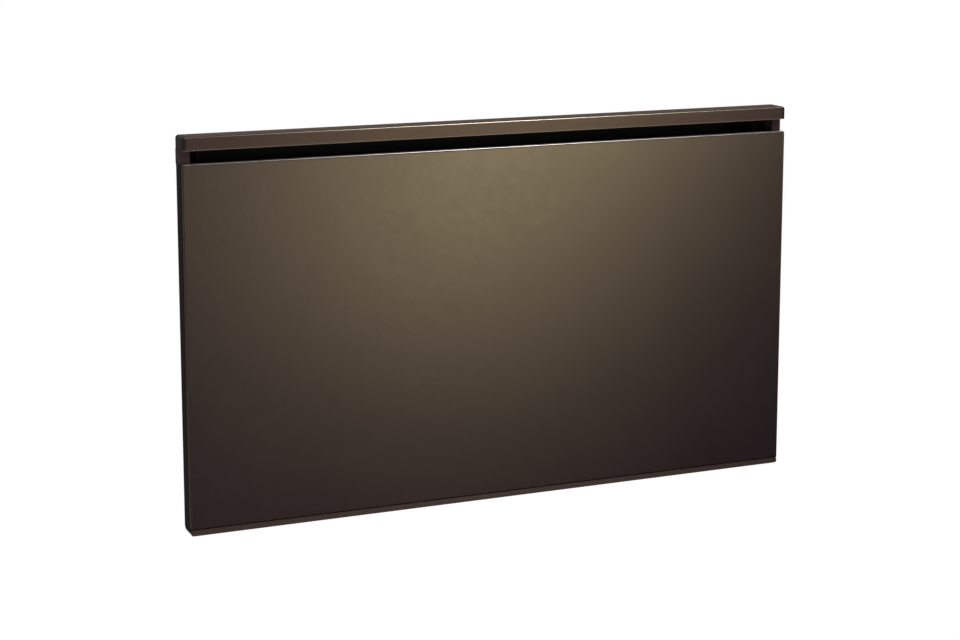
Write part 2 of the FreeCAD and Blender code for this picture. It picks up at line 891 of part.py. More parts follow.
def make_side_screws():
    body = new_body("side_screws")
    for side in sides.values():
        screws(body, "YZ", plate_outer * side, side, side_screw_places, s.screw_length)


# Heating element and its supports

def make_heat_shield():
    body = new_body("heat_shield")
    low = lip_top + s.backing_gap
    high = low + s.shield_height
    folded = outline(
        (front_upstand_back, low),
        (shield_back, low),
        (shield_back, high),
        (backing_back, high),
        (backing_back, high - s.shield_sheet),
        (front_upstand_back, high - s.shield_sheet),
    )
    pad(body, "YZ", (-(panel_half - s.shield_side_gap), partition_x - s.partition_gap), folded)


def make_element_fins():
    body = new_body("element_fins")
    bush_room = s.bush_flange + s.bush_gap
    length = (element_bracket_x + s.sheet + bush_room, partition_x - bush_room)
    bore = s.rod_radius + s.running_gap
    pad(body, "YZ", length, circle(0, 0, s.fin_hub_radius), circle(0, 0, bore))
    fin_start = (s.fin_hub_radius + bore) / 2
    fin = outline(
        (fin_start, -s.fin_root / 2),
        (s.fin_tip_radius, -s.fin_tip / 2),
        (s.fin_tip_radius, s.fin_tip / 2),
        (fin_start, s.fin_root / 2),
    )
    first_fin = feature_along(body, "PartDesign::Pad", "YZ", length, [fin])
    doc.recompute()
    fin_count = 8
    repeat_around(body, first_fin, "X", fin_count)
    place(body, 0, element_y, element_z)


def make_element_rod():
    body = new_body("element_rod")
    left = element_bracket_x - s.bush_neck
    right = partition_x + s.sheet + s.bush_neck
    pad(body, "YZ", (left, right), circle(0, 0, s.rod_radius))
    pad(body, "YZ", (left - s.rod_pin_length, left), circle(0, 0, s.rod_pin_radius))
    pad(body, "YZ", (right, right + s.rod_pin_length), circle(0, 0, s.rod_pin_radius))
    place(body, 0, element_y, element_z)


def make_element_bush(name, seat_x, facing):
    body = new_body(f"element_bush_{name}")
    bore = s.rod_radius + s.running_gap
    flange = s.bush_flange * facing
    neck = -s.bush_neck * facing
    section = outline(
        (neck, bore),
        (flange, bore),
        (flange, s.bush_flange_radius),
        (0, s.bush_flange_radius),
        (0, s.bush_neck_radius),
        (neck, s.bush_neck_radius),
    )
    turn(body, section)
    place(body, seat_x, element_y, element_z)


def make_element_bracket():
    body = new_body("element_bracket")
    heights = (element_z - s.bracket_half, element_z + s.bracket_half)
    bush_hole = circle(element_y, element_z, s.bush_neck_radius + s.fit_gap)
    inner = element_bracket_x + s.sheet
    wall = rectangle((element_y - s.bracket_front, panel_inner), heights)
    pad(body, "YZ", (element_bracket_x, inner), wall, bush_hole)
    foot_thickness = (panel_inner - s.sheet, panel_inner)
    pad(body, "XZ", foot_thickness, rectangle((inner, inner + s.bracket_foot), heights))
    screw_holes(body, "XZ", foot_thickness, foot_screws)


def make_control_partition():
    body = new_body("control_partition")
    face = partition_x + s.sheet
    floor = casing_bottom + s.sheet
    step = casing_bottom + s.grille_flange + s.partition_gap
    front_edge = backing_back + s.partition_gap
    wall = outline(
        (slab_back + s.sheet + s.partition_gap, floor + s.partition_gap),
        (panel_inner - s.sheet - s.partition_gap, floor + s.partition_gap),
        (panel_inner - s.sheet - s.partition_gap, step),
        (panel_inner, step),
        (panel_inner, partition_top),
        (front_edge, partition_top),
        (front_edge, step),
        (slab_back + s.sheet + s.partition_gap, step),
    )
    bush_hole = circle(element_y, element_z, s.bush_neck_radius + s.fit_gap)
    cutout_hole = circle(element_y, cutout_z, s.cutout_radius + s.fit_gap)
    pad(body, "YZ", (partition_x, face), wall, bush_hole, cutout_hole)
    flange_thickness = (panel_inner - s.sheet, panel_inner)
    flange_heights = (casing_bottom + s.partition_flange_rise, partition_top)
    flange = rectangle((face, face + s.partition_flange), flange_heights)
    pad(body, "XZ", flange_thickness, flange)
    roof = rectangle((face, panel_half - s.sheet - s.fit_gap), (front_edge, panel_inner - s.sheet))
    pad(body, "XY", (partition_top - s.sheet, partition_top), roof)
    screw_holes(body, "XZ", flange_thickness, partition_screws)


def make_thermal_cutout():
    body = new_body("thermal_cutout")
    stem_end = s.sheet + s.cutout_stem
    section = outline(
        (-s.cutout_depth, 0),
        (stem_end, 0),
        (stem_end, s.cutout_radius),
        (0, s.cutout_radius),
        (0, s.cutout_flange_radius),
        (-s.cutout_flange, s.cutout_flange_radius),
        (-s.cutout_flange, s.cutout_radius),
        (-s.cutout_depth, s.cutout_radius),
    )
    turn(body, section)
    place(body, partition_x, element_y, cutout_z)


# Controls on the right side plate

def make_thermostat_body():
    body = new_body("thermostat_body")
    half = s.thermostat_side / 2
    neck_end = s.sheet + s.thermostat_neck
    housing = rectangle(both_ways(half), both_ways(half), s.thermostat_corner)
    pad(body, "YZ", (-s.thermostat_depth, 0), housing)
    pad(body, "YZ", (0, neck_end), circle(0, 0, s.thermostat_neck_radius))
    shaft_room = (-s.shaft_inside - s.shaft_end_gap, neck_end)
    cut(body, "YZ", shaft_room, circle(0, 0, s.shaft_radius + s.running_gap))
    place(body, plate_inner, control_y, thermostat_z)


def hexagon(half_flat):
    corner = half_flat / math.cos(math.pi / 6)
    steps = [index * math.pi / 3 for index in range(6)]
    return outline(*[(corner * math.cos(step), corner * math.sin(step)) for step in steps])


def make_nut(label, span, half_flat, bore, x, z):
    body = new_body(label)
    pad(body, "YZ", span, hexagon(half_flat), circle(0, 0, bore + s.running_gap))
    place(body, x, control_y, z)


shaft_outside = s.knob_gap + s.knob_recess + s.shaft_seat


def make_thermostat_shaft():
    body = new_body("thermostat_shaft")
    pad(body, "YZ", (-s.sheet - s.shaft_inside, shaft_outside), circle(0, 0, s.shaft_radius))
    flat = rectangle(both_ways(s.shaft_radius), (s.shaft_flat, s.shaft_radius))
    cut(body, "YZ", (s.knob_gap + s.knob_recess, shaft_outside), flat)
    place(body, plate_outer, control_y, thermostat_z)


def make_thermostat_knob():
    body = new_body("thermostat_knob")
    base = s.knob_gap
    face = base + s.knob_height
    pad(body, "YZ", (base, face), circle(0, 0, s.knob_radius))
    round_edges(body, s.knob_edge, lambda edge: lies_at(edge, "x", face))
    flute = circle(s.knob_radius + s.knob_flute_radius / 2, 0, s.knob_flute_radius)
    first_flute = cut(body, "YZ", (base, face), flute)
    flute_count = 18
    repeat_around(body, first_flute, "X", flute_count)
    seat = base + s.knob_recess
    cut(body, "YZ", (base, seat), circle(0, 0, s.knob_recess_radius))
    bore = s.shaft_radius + s.running_gap
    bore_end = shaft_outside + s.shaft_end_gap
    cut(body, "YZ", (seat, bore_end), circle(0, 0, bore))
    pad(body, "YZ", (seat, bore_end), rectangle(both_ways(bore), (s.shaft_flat + s.running_gap, bore)))
    half_line = s.pointer_width / 2
    pointer = rectangle(both_ways(half_line), (s.shaft_radius, s.knob_radius - s.knob_flute_radius))
    cut(body, "YZ", (face - s.pointer_depth, face), pointer)
    place(body, plate_outer, control_y, thermostat_z)


def make_switch_body():
    body = new_body("switch_body")
    bezel = rectangle(both_ways(s.bezel_half_width), both_ways(s.bezel_half_height), s.bezel_corner)
    pad(body, "YZ", (0, s.bezel_thickness), bezel)
    barrel = rectangle(both_ways(s.barrel_half_width), both_ways(s.barrel_half_height))
    pad(body, "YZ", (-s.barrel_depth, 0), barrel)
    blades = []
    for side in sides.values():
        middle = s.blade_offset * side
        blade_z = (middle - s.blade_half_thickness, middle + s.blade_half_thickness)
        blades.append(rectangle(both_ways(s.blade_half_width), blade_z))
    pad(body, "YZ", (-s.barrel_depth - s.blade_length, -s.barrel_depth), *blades)
    well_half_width = s.rocker_half_width + s.rocker_side_gap
    well_half_height = s.rocker_half_height + s.rocker_well_gap
    well = rectangle(both_ways(well_half_width), both_ways(well_half_height))
    cut(body, "YZ", (s.bezel_thickness - s.rocker_well_depth, s.bezel_thickness), well)
    bearing = circle(-s.rocker_pivot_depth, 0, s.trunnion_radius + s.running_gap)
    cut(body, "XZ", both_ways(well_half_width + s.trunnion_length + s.running_gap), bearing)
    place(body, plate_outer, control_y, switch_z)


def make_power_rocker():
    body = new_body("power_rocker")
    section = outline(
        (s.rocker_crest, -s.rocker_half_height),
        (s.rocker_dip, 0),
        (s.rocker_crest, s.rocker_half_height),
        (-s.rocker_skirt, s.rocker_half_height),
        (-s.rocker_keel, 0),
        (-s.rocker_skirt, -s.rocker_half_height),
    )
    pad(body, "XZ", both_ways(s.rocker_half_width), section)
    trunnions = both_ways(s.rocker_half_width + s.rocker_side_gap + s.trunnion_length)
    pad(body, "XZ", trunnions, circle(0, 0, s.trunnion_radius))
    body.Placement.Rotation = FreeCAD.Rotation(FreeCAD.Vector(0, 1, 0), s.rocker_tilt.number)
    body.setExpression("Placement.Rotation.Angle", s.rocker_tilt.text)
    place(body, plate_outer - s.rocker_pivot_depth, control_y, switch_z)


def make_pilot_lamp():
    body = new_body("pilot_lamp")
    section = outline(
        (-s.lamp_barrel, 0),
        (s.lamp_dome, 0),
        (s.lamp_dome, s.lamp_radius, s.lamp_edge),
        (0, s.lamp_radius),
        (0, s.lamp_barrel_radius),
        (-s.lamp_barrel, s.lamp_barrel_radius),
    )
    turn(body, section)
    place(body, plate_outer, control_y, lamp_z)


def make_cable_gland():
    body = new_body("cable_gland")
    neck = -s.sheet - s.gland_neck
    dome_end = s.gland_flange + s.gland_dome
    section = outline(
        (neck, s.gland_bore_radius),
        (dome_end, s.gland_bore_radius),
        (dome_end, s.gland_dome_radius, s.gland_edge),
        (s.gland_flange, s.gland_dome_radius),
        (s.gland_flange, s.gland_flange_radius),
        (0, s.gland_flange_radius),
        (0, s.gland_neck_radius),
        (neck, s.gland_neck_radius),
    )
    turn(body, section)
    place(body, plate_outer, control_y, gland_z)


def make_terminal_block():
    body = new_body("terminal_block")
    pole_count = 3
    half = s.terminal_width / 2
    pad(body, "YZ", (0, s.terminal_base), rectangle(both_ways(half), (0, s.terminal_pole * pole_count)))
    pole = rectangle(both_ways(half), (s.terminal_waist / 2, s.terminal_pole - s.terminal_waist / 2))
    first_pole = feature_along(body, "PartDesign::Pad", "YZ", (s.terminal_base, s.terminal_depth), [pole])
    doc.recompute()
    repeat_along(body, first_pole, "Z", s.terminal_pole * (pole_count - 1), pole_count)
    bore_x = (s.terminal_base + s.terminal_depth) / 2
    bore_z = [s.terminal_pole * index + s.terminal_pole / 2 for index in range(pole_count)]
    bores = [circle(bore_x, z, s.terminal_bore_radius) for z in bore_z]
    cut(body, "XZ", both_ways(half), *bores)
    place(body, partition_x + s.sheet, element_y, terminal_z)


# Wall bracket

def make_bracket_upright(name, side):
    body = new_body(f"bracket_upright_{name}")
    middle = upright_x * side
    web_low = hook_z - s.web_tail
    web_x = sided(side, upright_x - s.web_half, upright_x + s.web_half)
    web_thickness = (-s.bracket_sheet, as_size(0))
    pad(body, "XZ", web_thickness, rectangle(web_x, (web_low, shelf_z)))
    flange_x = sided(side, upright_x + s.web_half - s.bracket_sheet, upright_x + s.web_half)
    pad(body, "YZ", flange_x, rectangle((casing_back, as_size(0)), (web_low, shelf_z - s.flange_stop)))
    hook_x = (middle - s.hook_half, middle + s.hook_half)
    hook_low = hook_z - s.bracket_sheet
    pad(body, "XY", (hook_low, hook_z), rectangle(hook_x, (-s.hook_reach, as_size(0))))
    hook_tip = (-s.hook_reach, -s.hook_reach + s.bracket_sheet)
    pad(body, "XZ", hook_tip, rectangle(hook_x, (hook_low, hook_low + s.hook_lip)))
    shelf_thickness = (shelf_z - s.bracket_sheet, shelf_z)
    shelf_x = (middle - s.shelf_half, middle + s.shelf_half)
    pad(body, "XY", shelf_thickness, rectangle(shelf_x, (-s.shelf_reach, as_size(0))))
    cut(body, "XY", shelf_thickness, circle(middle, -s.lock_axis, s.lock_pin_radius + s.running_gap))
    screw_z = both_ways(s.wall_spacing_z / 2)
    cut(body, "XZ", web_thickness, *[circle(middle, z, s.wall_hole_radius) for z in screw_z])


def make_bracket_cross_bars():
    body = new_body("bracket_cross_bars")
    back = -s.bracket_sheet
    face = back - s.bracket_sheet
    length = both_ways(upright_x + s.bar_overlap)
    flange_length = both_ways(upright_x - s.web_half)
    for middle in both_ways(s.bar_half_spacing):
        high = middle + s.bar_half
        pad(body, "XZ", (face, back), rectangle(length, (middle - s.bar_half, high)))
        flange = rectangle(flange_length, (face - s.bar_flange, face))
        pad(body, "XY", (high - s.bracket_sheet, high), flange)


def make_lock(name, side):
    body = new_body(f"lock_{name}")
    pin_low = -(s.bracket_sheet + s.lock_gap)
    head_high = s.lock_gap + s.lock_head
    pad(body, "XY", (pin_low, s.lock_gap), circle(0, 0, s.lock_pin_radius))
    pad(body, "XY", (s.lock_gap, head_high), circle(0, 0, s.lock_head_radius))
    cam = rectangle(both_ways(s.lock_cam_half), (-s.lock_cam_reach, s.lock_cam_half), s.lock_cam_corner)
    pad(body, "XY", (pin_low - s.lock_cam, pin_low), cam)
    driver = rectangle(both_ways(s.lock_head_radius), both_ways(s.driver_slot / 2))
    cut(body, "XY", (head_high - s.driver_slot, head_high), driver)
    place(body, upright_x * side, -s.lock_axis, shelf_z)


def make_wall_bumpers():
    body = new_body("wall_bumpers")
    centres = [(bumper_x * side, bumper_z) for side in sides.values()]
    steps = [
        ((casing_back, as_size(0)), s.bumper_radius),
        ((panel_inner, casing_back), s.bumper_stem_radius),
        ((panel_inner - s.bumper_stem, panel_inner), s.bumper_barb_radius),
    ]
    for span, radius in steps:
        pad(body, "XZ", span, *[circle(x, z, radius) for x, z in centres])


def make_all():
    make_glass_panel()
    make_glass_bond_strips()
    make_glass_setting_pads()
    make_top_rail()
    make_bottom_rail()
    make_backing_plate()
    make_top_cap()
    make_spacer_screws()
    for name, side in sides.items():
        make_side_rail(name, side)
        make_cap_end(name, side)
        make_slot_spacer(name, side)
        plate = make_side_plate(name, side)
        if name == "right":
            cut_control_holes(plate)
        make_side_angle(name, side)
        make_bracket_upright(name, side)
        make_lock(name, side)
    make_rear_panel()
    make_bottom_grille()
    make_top_deflector()
    make_casing_screws()
    make_rear_screws()
    make_side_screws()
    make_heat_shield()
    make_element_fins()
    make_element_rod()
    make_element_bush("left", element_bracket_x + s.sheet, 1)
    make_element_bush("right", partition_x, -1)
    make_element_bracket()
    make_control_partition()
    make_thermal_cutout()
    make_thermostat_body()
    nut_span = (as_size(0), s.nut_height)
    neck = s.thermostat_neck_radius
    make_nut("thermostat_nut", nut_span, s.nut_half_flat, neck, plate_outer, thermostat_z)
    make_thermostat_shaft()
    make_thermostat_knob()
    make_switch_body()
    make_power_rocker()
    make_pilot_lamp()
    make_cable_gland()
    gland_nut_span = (-s.gland_nut, as_size(0))
    gland_neck = s.gland_neck_radius
    make_nut("gland_nut", gland_nut_span, s.gland_nut_half_flat, gland_neck, plate_inner, gland_z)
    make_terminal_block()
    make_bracket_cross_bars()
    make_wall_bumpers()


def check_document():
    doc.recompute()
    for item in doc.Objects:
        if "Invalid" in item.State or "Error" in item.State:
            raise RuntimeError(f"{item.Label} failed to recompute: {item.State}")
    for body in sub_parts:
        if body.Shape.isNull() or not body.Shape.isValid() or body.Shape.Volume <= 0:
            raise RuntimeError(f"{body.Label} has no valid shape")


def export_parts():
    os.makedirs("parts", exist_ok=True)
    for body in sub_parts:
        body.Shape.exportStep(f"parts/{body.Label}.step")
        print(f"{body.Label}: {len(body.Shape.Solids)} solid, {body.Shape.Volume / 1000:.2f} cm3")


make_all()
check_document()
export_parts()
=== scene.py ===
import bmesh
import bpy
import json
import math
from mathutils import Matrix, Vector


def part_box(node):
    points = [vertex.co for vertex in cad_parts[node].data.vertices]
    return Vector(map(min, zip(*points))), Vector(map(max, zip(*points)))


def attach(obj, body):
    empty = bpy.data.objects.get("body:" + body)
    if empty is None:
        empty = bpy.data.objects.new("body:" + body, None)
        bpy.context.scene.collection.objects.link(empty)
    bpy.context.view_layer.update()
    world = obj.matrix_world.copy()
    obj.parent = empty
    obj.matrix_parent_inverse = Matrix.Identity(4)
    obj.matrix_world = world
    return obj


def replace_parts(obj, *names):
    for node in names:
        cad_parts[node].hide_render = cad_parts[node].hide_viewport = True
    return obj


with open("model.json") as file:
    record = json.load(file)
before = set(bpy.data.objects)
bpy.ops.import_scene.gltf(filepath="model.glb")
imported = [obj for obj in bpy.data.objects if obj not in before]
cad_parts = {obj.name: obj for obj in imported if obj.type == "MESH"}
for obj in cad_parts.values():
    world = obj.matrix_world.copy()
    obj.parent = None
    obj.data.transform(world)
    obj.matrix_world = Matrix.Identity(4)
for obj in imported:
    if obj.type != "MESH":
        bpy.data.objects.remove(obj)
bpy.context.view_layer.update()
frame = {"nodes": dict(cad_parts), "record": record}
nodes = frame["nodes"]
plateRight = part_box("side_plate_right")[1].x  # the outer face of the right side plate
mm = 0.001
xAxis, yAxis, zAxis = 0, 1, 2
print("frame:", len(nodes), "nodes")


# Shader maths

class Wire:  # one socket of a node tree, with arithmetic on its value
    def __init__(self, board, socket):
        self.board = board
        self.socket = socket

    def calc(self, operation, first, second):
        return self.board.node("ShaderNodeMath", {"operation": operation}, {0: first, 1: second})

    def __add__(self, other):
        return self.calc("ADD", self, other)

    def __radd__(self, other):
        return self.calc("ADD", other, self)

    def __sub__(self, other):
        return self.calc("SUBTRACT", self, other)

    def __rsub__(self, other):
        return self.calc("SUBTRACT", other, self)

    def __mul__(self, other):
        return self.calc("MULTIPLY", self, other)

    def __rmul__(self, other):
        return self.calc("MULTIPLY", other, self)

    def __lt__(self, other):
        return self.calc("LESS_THAN", self, other)

    def __gt__(self, other):
        return self.calc("GREATER_THAN", self, other)


class Board:  # a node tree that hands out wires
    def __init__(self, tree):
        self.tree = tree
        tree.nodes.clear()

    def node(self, kind, settings=None, inputs=None, out=0):
        made = self.tree.nodes.new(kind)
        for name, value in (settings or {}).items():
            setattr(made, name, value)
        for key, value in (inputs or {}).items():
            if isinstance(value, Wire):
                self.tree.links.new(value.socket, made.inputs[key])
            else:
                made.inputs[key].default_value = value
        return Wire(self, made.outputs[out]) if made.outputs else None


half = 0.5  # the middle of a noise, and the step between a mask's off and on
mixSocket = {"factor": 0, "low": 6, "high": 7, "result": 2}  # the colour sockets of a Mix node


def colour(red, green, blue):
    return (red, green, blue, 1.0)


def blend(board, factor, low, high):
    inputs = {mixSocket["factor"]: factor, mixSocket["low"]: low, mixSocket["high"]: high}
    return board.node("ShaderNodeMix", {"data_type": "RGBA"}, inputs, out=mixSocket["result"])


def larger(board, first, second):
    return board.node("ShaderNodeMath", {"operation": "MAXIMUM"}, {0: first, 1: second})


def place(board):
    return board.node("ShaderNodeTexCoord", out="Object")


def along(board, axis):  # the place on one axis
    return board.node("ShaderNodeSeparateXYZ", None, {"Vector": place(board)}, out=axis)


def distance(board, axis):  # how far from the middle plane on one axis
    return board.node("ShaderNodeMath", {"operation": "ABSOLUTE"}, {0: along(board, axis)})


def stretched(board, scale):
    return board.node("ShaderNodeMapping", None, {"Vector": place(board), "Scale": scale})


def noise(board, grain, vector=None):  # a grain is a scale and a detail
    scale, detail = grain
    inputs = {"Vector": vector or place(board), "Scale": scale, "Detail": detail}
    return board.node("ShaderNodeTexNoise", None, inputs)


def bump(board, height, relief):  # a relief is a strength and a depth
    strength, depth = relief
    return board.node("ShaderNodeBump", None, {"Height": height, "Strength": strength, "Distance": depth})


def shared(wires, shares):  # the sum of some wires, each times its share
    first, *others = [wire * share for wire, share in zip(wires, shares)]
    return sum(others, first)


def swung(wires, swings):  # the same about the middle of each noise
    return shared([wire - half for wire in wires], swings)


def toned(board, wires, shares, plan):  # between the dark and the light of a finish
    return blend(board, shared(wires, shares), plan["dark"], plan["light"])


def newFinish(name):
    material = bpy.data.materials.new(name)
    material.use_nodes = True
    return material, Board(material.node_tree)


def shade(board, sockets):
    surface = board.node("ShaderNodeBsdfPrincipled", None, sockets)
    board.node("ShaderNodeOutputMaterial", None, {"Surface": surface})


# Glass

def bronzeGlass():
    plan = {
        "dark": colour(0.0047, 0.0012, 0.0066),
        "light": colour(0.0080, 0.0022, 0.0102),
        "tint": colour(1.0, 0.82, 0.46),
        "speckle": (1500.0, 3.0),
        "mottle": (110.0, 4.0),
        "cloud": (7.0, 3.0),
        "toneShares": (0.3, 0.3, 0.4),
        "hazeSwings": (0.05, 0.08, 0.04),
        "waviness": 20.0,  # the slow unevenness of the face, against its speckle
        "relief": (0.05, 0.1 * mm),
        "roughness": 0.35,
        "ground": colour(0.09, 0.080, 0.078),  # the ground top edge
        "groundDrop": 0.25 * mm,
        "arrisGlint": colour(0.58, 0.54, 0.515),  # a metal-bright colour on the front arris of that edge, a painted highlight line
        "arrisDrop": 0.66 * mm,
        "arrisIn": 0.12 * mm,
        "arrisPolish": 0.06,
        "borderFrom": 0.8 * mm,  # a frosted line under the arris
        "borderTo": 2.0 * mm,
        "borderDulled": 0.30,
        "flank": colour(0.0050, 0.0029, 0.0026),  # the painted side edges
        "flankIn": 0.45 * mm,
        "flankDulled": 0.55,
        "footBand": colour(0.021, 0.0118, 0.0128),  # printed along the foot, in the tone of the lip
        "paintedGapShadow": colour(0.004, 0.0022, 0.0022),  # painted shadow: a black line above that band, in place of the shaded gap between the glass and the lip
        "bandTop": 1.4 * mm,
        "lineTop": 2.6 * mm,
        "footDulled": 0.30,
    }
    material, board = newFinish("bronzeGlass")
    low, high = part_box("glass_panel")
    speckle = noise(board, plan["speckle"])
    mottle = noise(board, plan["mottle"])
    grains = (speckle, mottle, noise(board, plan["cloud"]))
    height = along(board, zAxis)
    crown = height > high.z - plan["groundDrop"]
    arris = (height > high.z - plan["arrisDrop"]) * (along(board, yAxis) < low.y + plan["arrisIn"])
    border = (height > high.z - plan["borderTo"]) * (height < high.z - plan["borderFrom"])
    flank = distance(board, xAxis) > high.x - plan["flankIn"]
    footBand = height < low.z + plan["bandTop"]
    foot = height < low.z + plan["lineTop"]
    tone = toned(board, grains, plan["toneShares"], plan)
    tone = blend(board, arris, tone, plan["arrisGlint"])
    tone = blend(board, foot, tone, blend(board, footBand, plan["paintedGapShadow"], plan["footBand"]))
    tone = blend(board, flank, blend(board, crown, tone, plan["ground"]), plan["flank"])
    dulled = border * plan["borderDulled"] + flank * plan["flankDulled"] + foot * plan["footDulled"]
    polish = arris * plan["arrisPolish"]
    shade(board, {
        "Base Color": tone,
        # metallic turns the arris into a painted highlight line and the foot line into a black painted
        # shadow
        "Metallic": arris * (1 - flank) + foot * (1 - footBand),
        "Roughness": plan["roughness"] + swung(grains, plan["hazeSwings"]) + dulled - polish,
        "Specular Tint": plan["tint"],
        "Normal": bump(board, speckle + mottle * plan["waviness"], plan["relief"]),
    })
    return material


# Bronze paint of the cap, its ends, the rails and the spacers

paintGrain = {
    "flake": (2200.0, 2.0),
    "drift": (9.0, 3.0),
    "toneShares": (0.7, 0.3),
    "crestShares": (0.5, 0.5),
    "roughSwings": (0.08, 0.06),
    "relief": (0.06, 0.1 * mm),
}
wearAndGlint = {  # the cap's front edges and top face: a bright metal rim, partly wear and partly a painted highlight line, a paler hem and a lighter top face
    "top": 0.25 * mm,
    "rimDrop": 1.2 * mm,
    "rimIn": 0.21 * mm,
    "hem": 0.6 * mm,
    "rimPolish": 0.08,
    # bare metal along the top front edge, partly wear and partly a painted highlight line
    "rimGlint": colour(0.33, 0.285, 0.24),
    "pale": colour(0.075, 0.063, 0.056),
    "crestDark": colour(0.037, 0.0215, 0.0140),  # the upward face is lighter and redder than the front
    "crestLight": colour(0.052, 0.0310, 0.0205),
}
capPaint = {
    "dark": colour(0.0125, 0.0048, 0.0090),
    "light": colour(0.0195, 0.0080, 0.0140),
    "tint": colour(1.0, 0.80, 0.42),
    "roughness": 0.36,
    "topDulled": 0.55,
    "level": 0.25,
}
endPaint = {
    "dark": colour(0.0085, 0.0052, 0.0048),
    "light": colour(0.0130, 0.0082, 0.0076),
    "tint": colour(1.0, 0.86, 0.78),
    "roughness": 0.60,
    "topDulled": 0.3,
    "level": 0.06,
}
lipPaint = {
    "dark": colour(0.0165, 0.0090, 0.0095),
    "light": colour(0.0255, 0.0145, 0.0150),
    "tint": colour(1.0, 0.82, 0.70),
    "roughness": 0.50,
    "topDulled": 0.0,
    "level": 0.4,
}
spacerPaint = {
    "dark": colour(0.0205, 0.0114, 0.0118),
    "light": colour(0.0275, 0.0158, 0.0164),
    "tint": colour(1.0, 0.88, 0.82),
    "roughness": 0.75,
    "topDulled": 0.0,
    "level": 0.08,
}
railPaint = {
    "dark": colour(0.0052, 0.0029, 0.0025),
    "light": colour(0.0080, 0.0046, 0.0041),
    "tint": colour(1.0, 0.86, 0.80),
    "roughness": 0.80,
    "topDulled": 0.0,
    "level": 0.05,
}


def bronzePaint(name, plan):
    material, board = newFinish(name)
    low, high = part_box("top_cap")
    flake = noise(board, paintGrain["flake"])
    grains = (flake, noise(board, paintGrain["drift"]))
    height = along(board, zAxis)
    depth = along(board, yAxis)
    top = height > high.z - wearAndGlint["top"]
    rim = (height > high.z - wearAndGlint["rimDrop"]) * (depth < low.y + wearAndGlint["rimIn"])
    hem = (height < low.z + wearAndGlint["hem"]) * (height > low.z - wearAndGlint["hem"]) * (depth < low.y + wearAndGlint["hem"])
    tone = toned(board, grains, paintGrain["toneShares"], plan)
    crest = blend(board, shared(grains, paintGrain["crestShares"]), wearAndGlint["crestDark"], wearAndGlint["crestLight"])
    tone = blend(board, top, tone, crest)
    tone = blend(board, hem, blend(board, rim, tone, wearAndGlint["rimGlint"]), wearAndGlint["pale"])
    grain = swung(grains, paintGrain["roughSwings"])
    shade(board, {
        "Base Color": tone,
        # the metallic rim carries the painted highlight line
        "Metallic": rim,
        "Roughness": plan["roughness"] + grain + top * plan["topDulled"] - rim * wearAndGlint["rimPolish"],
        "Specular IOR Level": plan["level"],
        "Specular Tint": plan["tint"],
        "Normal": bump(board, flake, paintGrain["relief"]),
    })
    return material


# Powder coat of the casing

throat = {  # the inside of the outlet duct, painted near-black as shade
    "bend": 41.0 * mm,
    "skin": 0.5 * mm,
    "mouth": 2.0 * mm,
    "dulled": 0.45,
}
coatGrain = {
    "peel": (650.0, 2.0),
    "dust": (3200.0, 1.0),
    "drift": (6.0, 4.0),
    "chips": (140.0, 5.0),
    "toneShares": (0.5, 0.5),
    "roughSwings": (0.12, 0.08),
    "relief": (0.35, 0.25 * mm),
}
coatPaint = {
    "dark": colour(0.025, 0.0230, 0.0222),
    "light": colour(0.039, 0.0362, 0.0350),
    "ductShade": colour(0.001, 0.001, 0.001),
    "bare": colour(0.105, 0.099, 0.093),
    "worn": 0.9 * mm,
    "roughness": 0.48,
    "level": 0.33,
}
# near-black paint of the side angles, a painted shade where they line the outlet slot
slotShadePaint = {
    "dark": colour(0.0030, 0.0026, 0.0026),
    "light": colour(0.0060, 0.0054, 0.0052),
    "ductShade": colour(0.001, 0.001, 0.001),
    "bare": colour(0.012, 0.011, 0.010),
    "worn": 0.5 * mm,
    "roughness": 0.85,
    "level": 0.05,
}


def insideDuct(board):
    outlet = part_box("top_rail")[1]
    low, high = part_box("top_deflector")
    bend = throat["bend"]
    height = along(board, zAxis)
    depth = along(board, yAxis)
    back = larger(board, depth - (high.y - bend), 0.0)
    rise = larger(board, height - (high.z - bend), 0.0)
    reach = board.node("ShaderNodeMath", {"operation": "SQRT"}, {0: back * back + rise * rise})
    between = distance(board, xAxis) < plateRight - throat["skin"]
    duct = (reach < bend - throat["skin"]) * between * (height > low.z)
    mouth = (height > outlet.z) * (depth < outlet.y + throat["mouth"])
    return duct + mouth > half


def powderCoat(name, plan):
    material, board = newFinish(name)
    peel = noise(board, coatGrain["peel"])
    dust = noise(board, coatGrain["dust"])
    drift = noise(board, coatGrain["drift"])
    chips = noise(board, coatGrain["chips"])
    inside = insideDuct(board)
    low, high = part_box("rear_panel")
    side = distance(board, xAxis) > high.x - plan["worn"]
    back = along(board, yAxis) > high.y - plan["worn"]
    foot = along(board, zAxis) < low.z + plan["worn"]
    folds = side * back + back * foot + side * foot  # the paint thins along the folds
    tone = toned(board, (dust, drift), coatGrain["toneShares"], plan)
    tone = blend(board, (folds > half) * (chips > half), tone, plan["bare"])
    grain = swung((peel, drift), coatGrain["roughSwings"])
    shade(board, {
        # painted shade: near-black inside the outlet duct
        "Base Color": blend(board, inside, tone, plan["ductShade"]),
        "Roughness": plan["roughness"] + grain + inside * throat["dulled"],
        "Specular IOR Level": plan["level"],
        "Normal": bump(board, peel, coatGrain["relief"]),
    })
    return material


# Bare metals

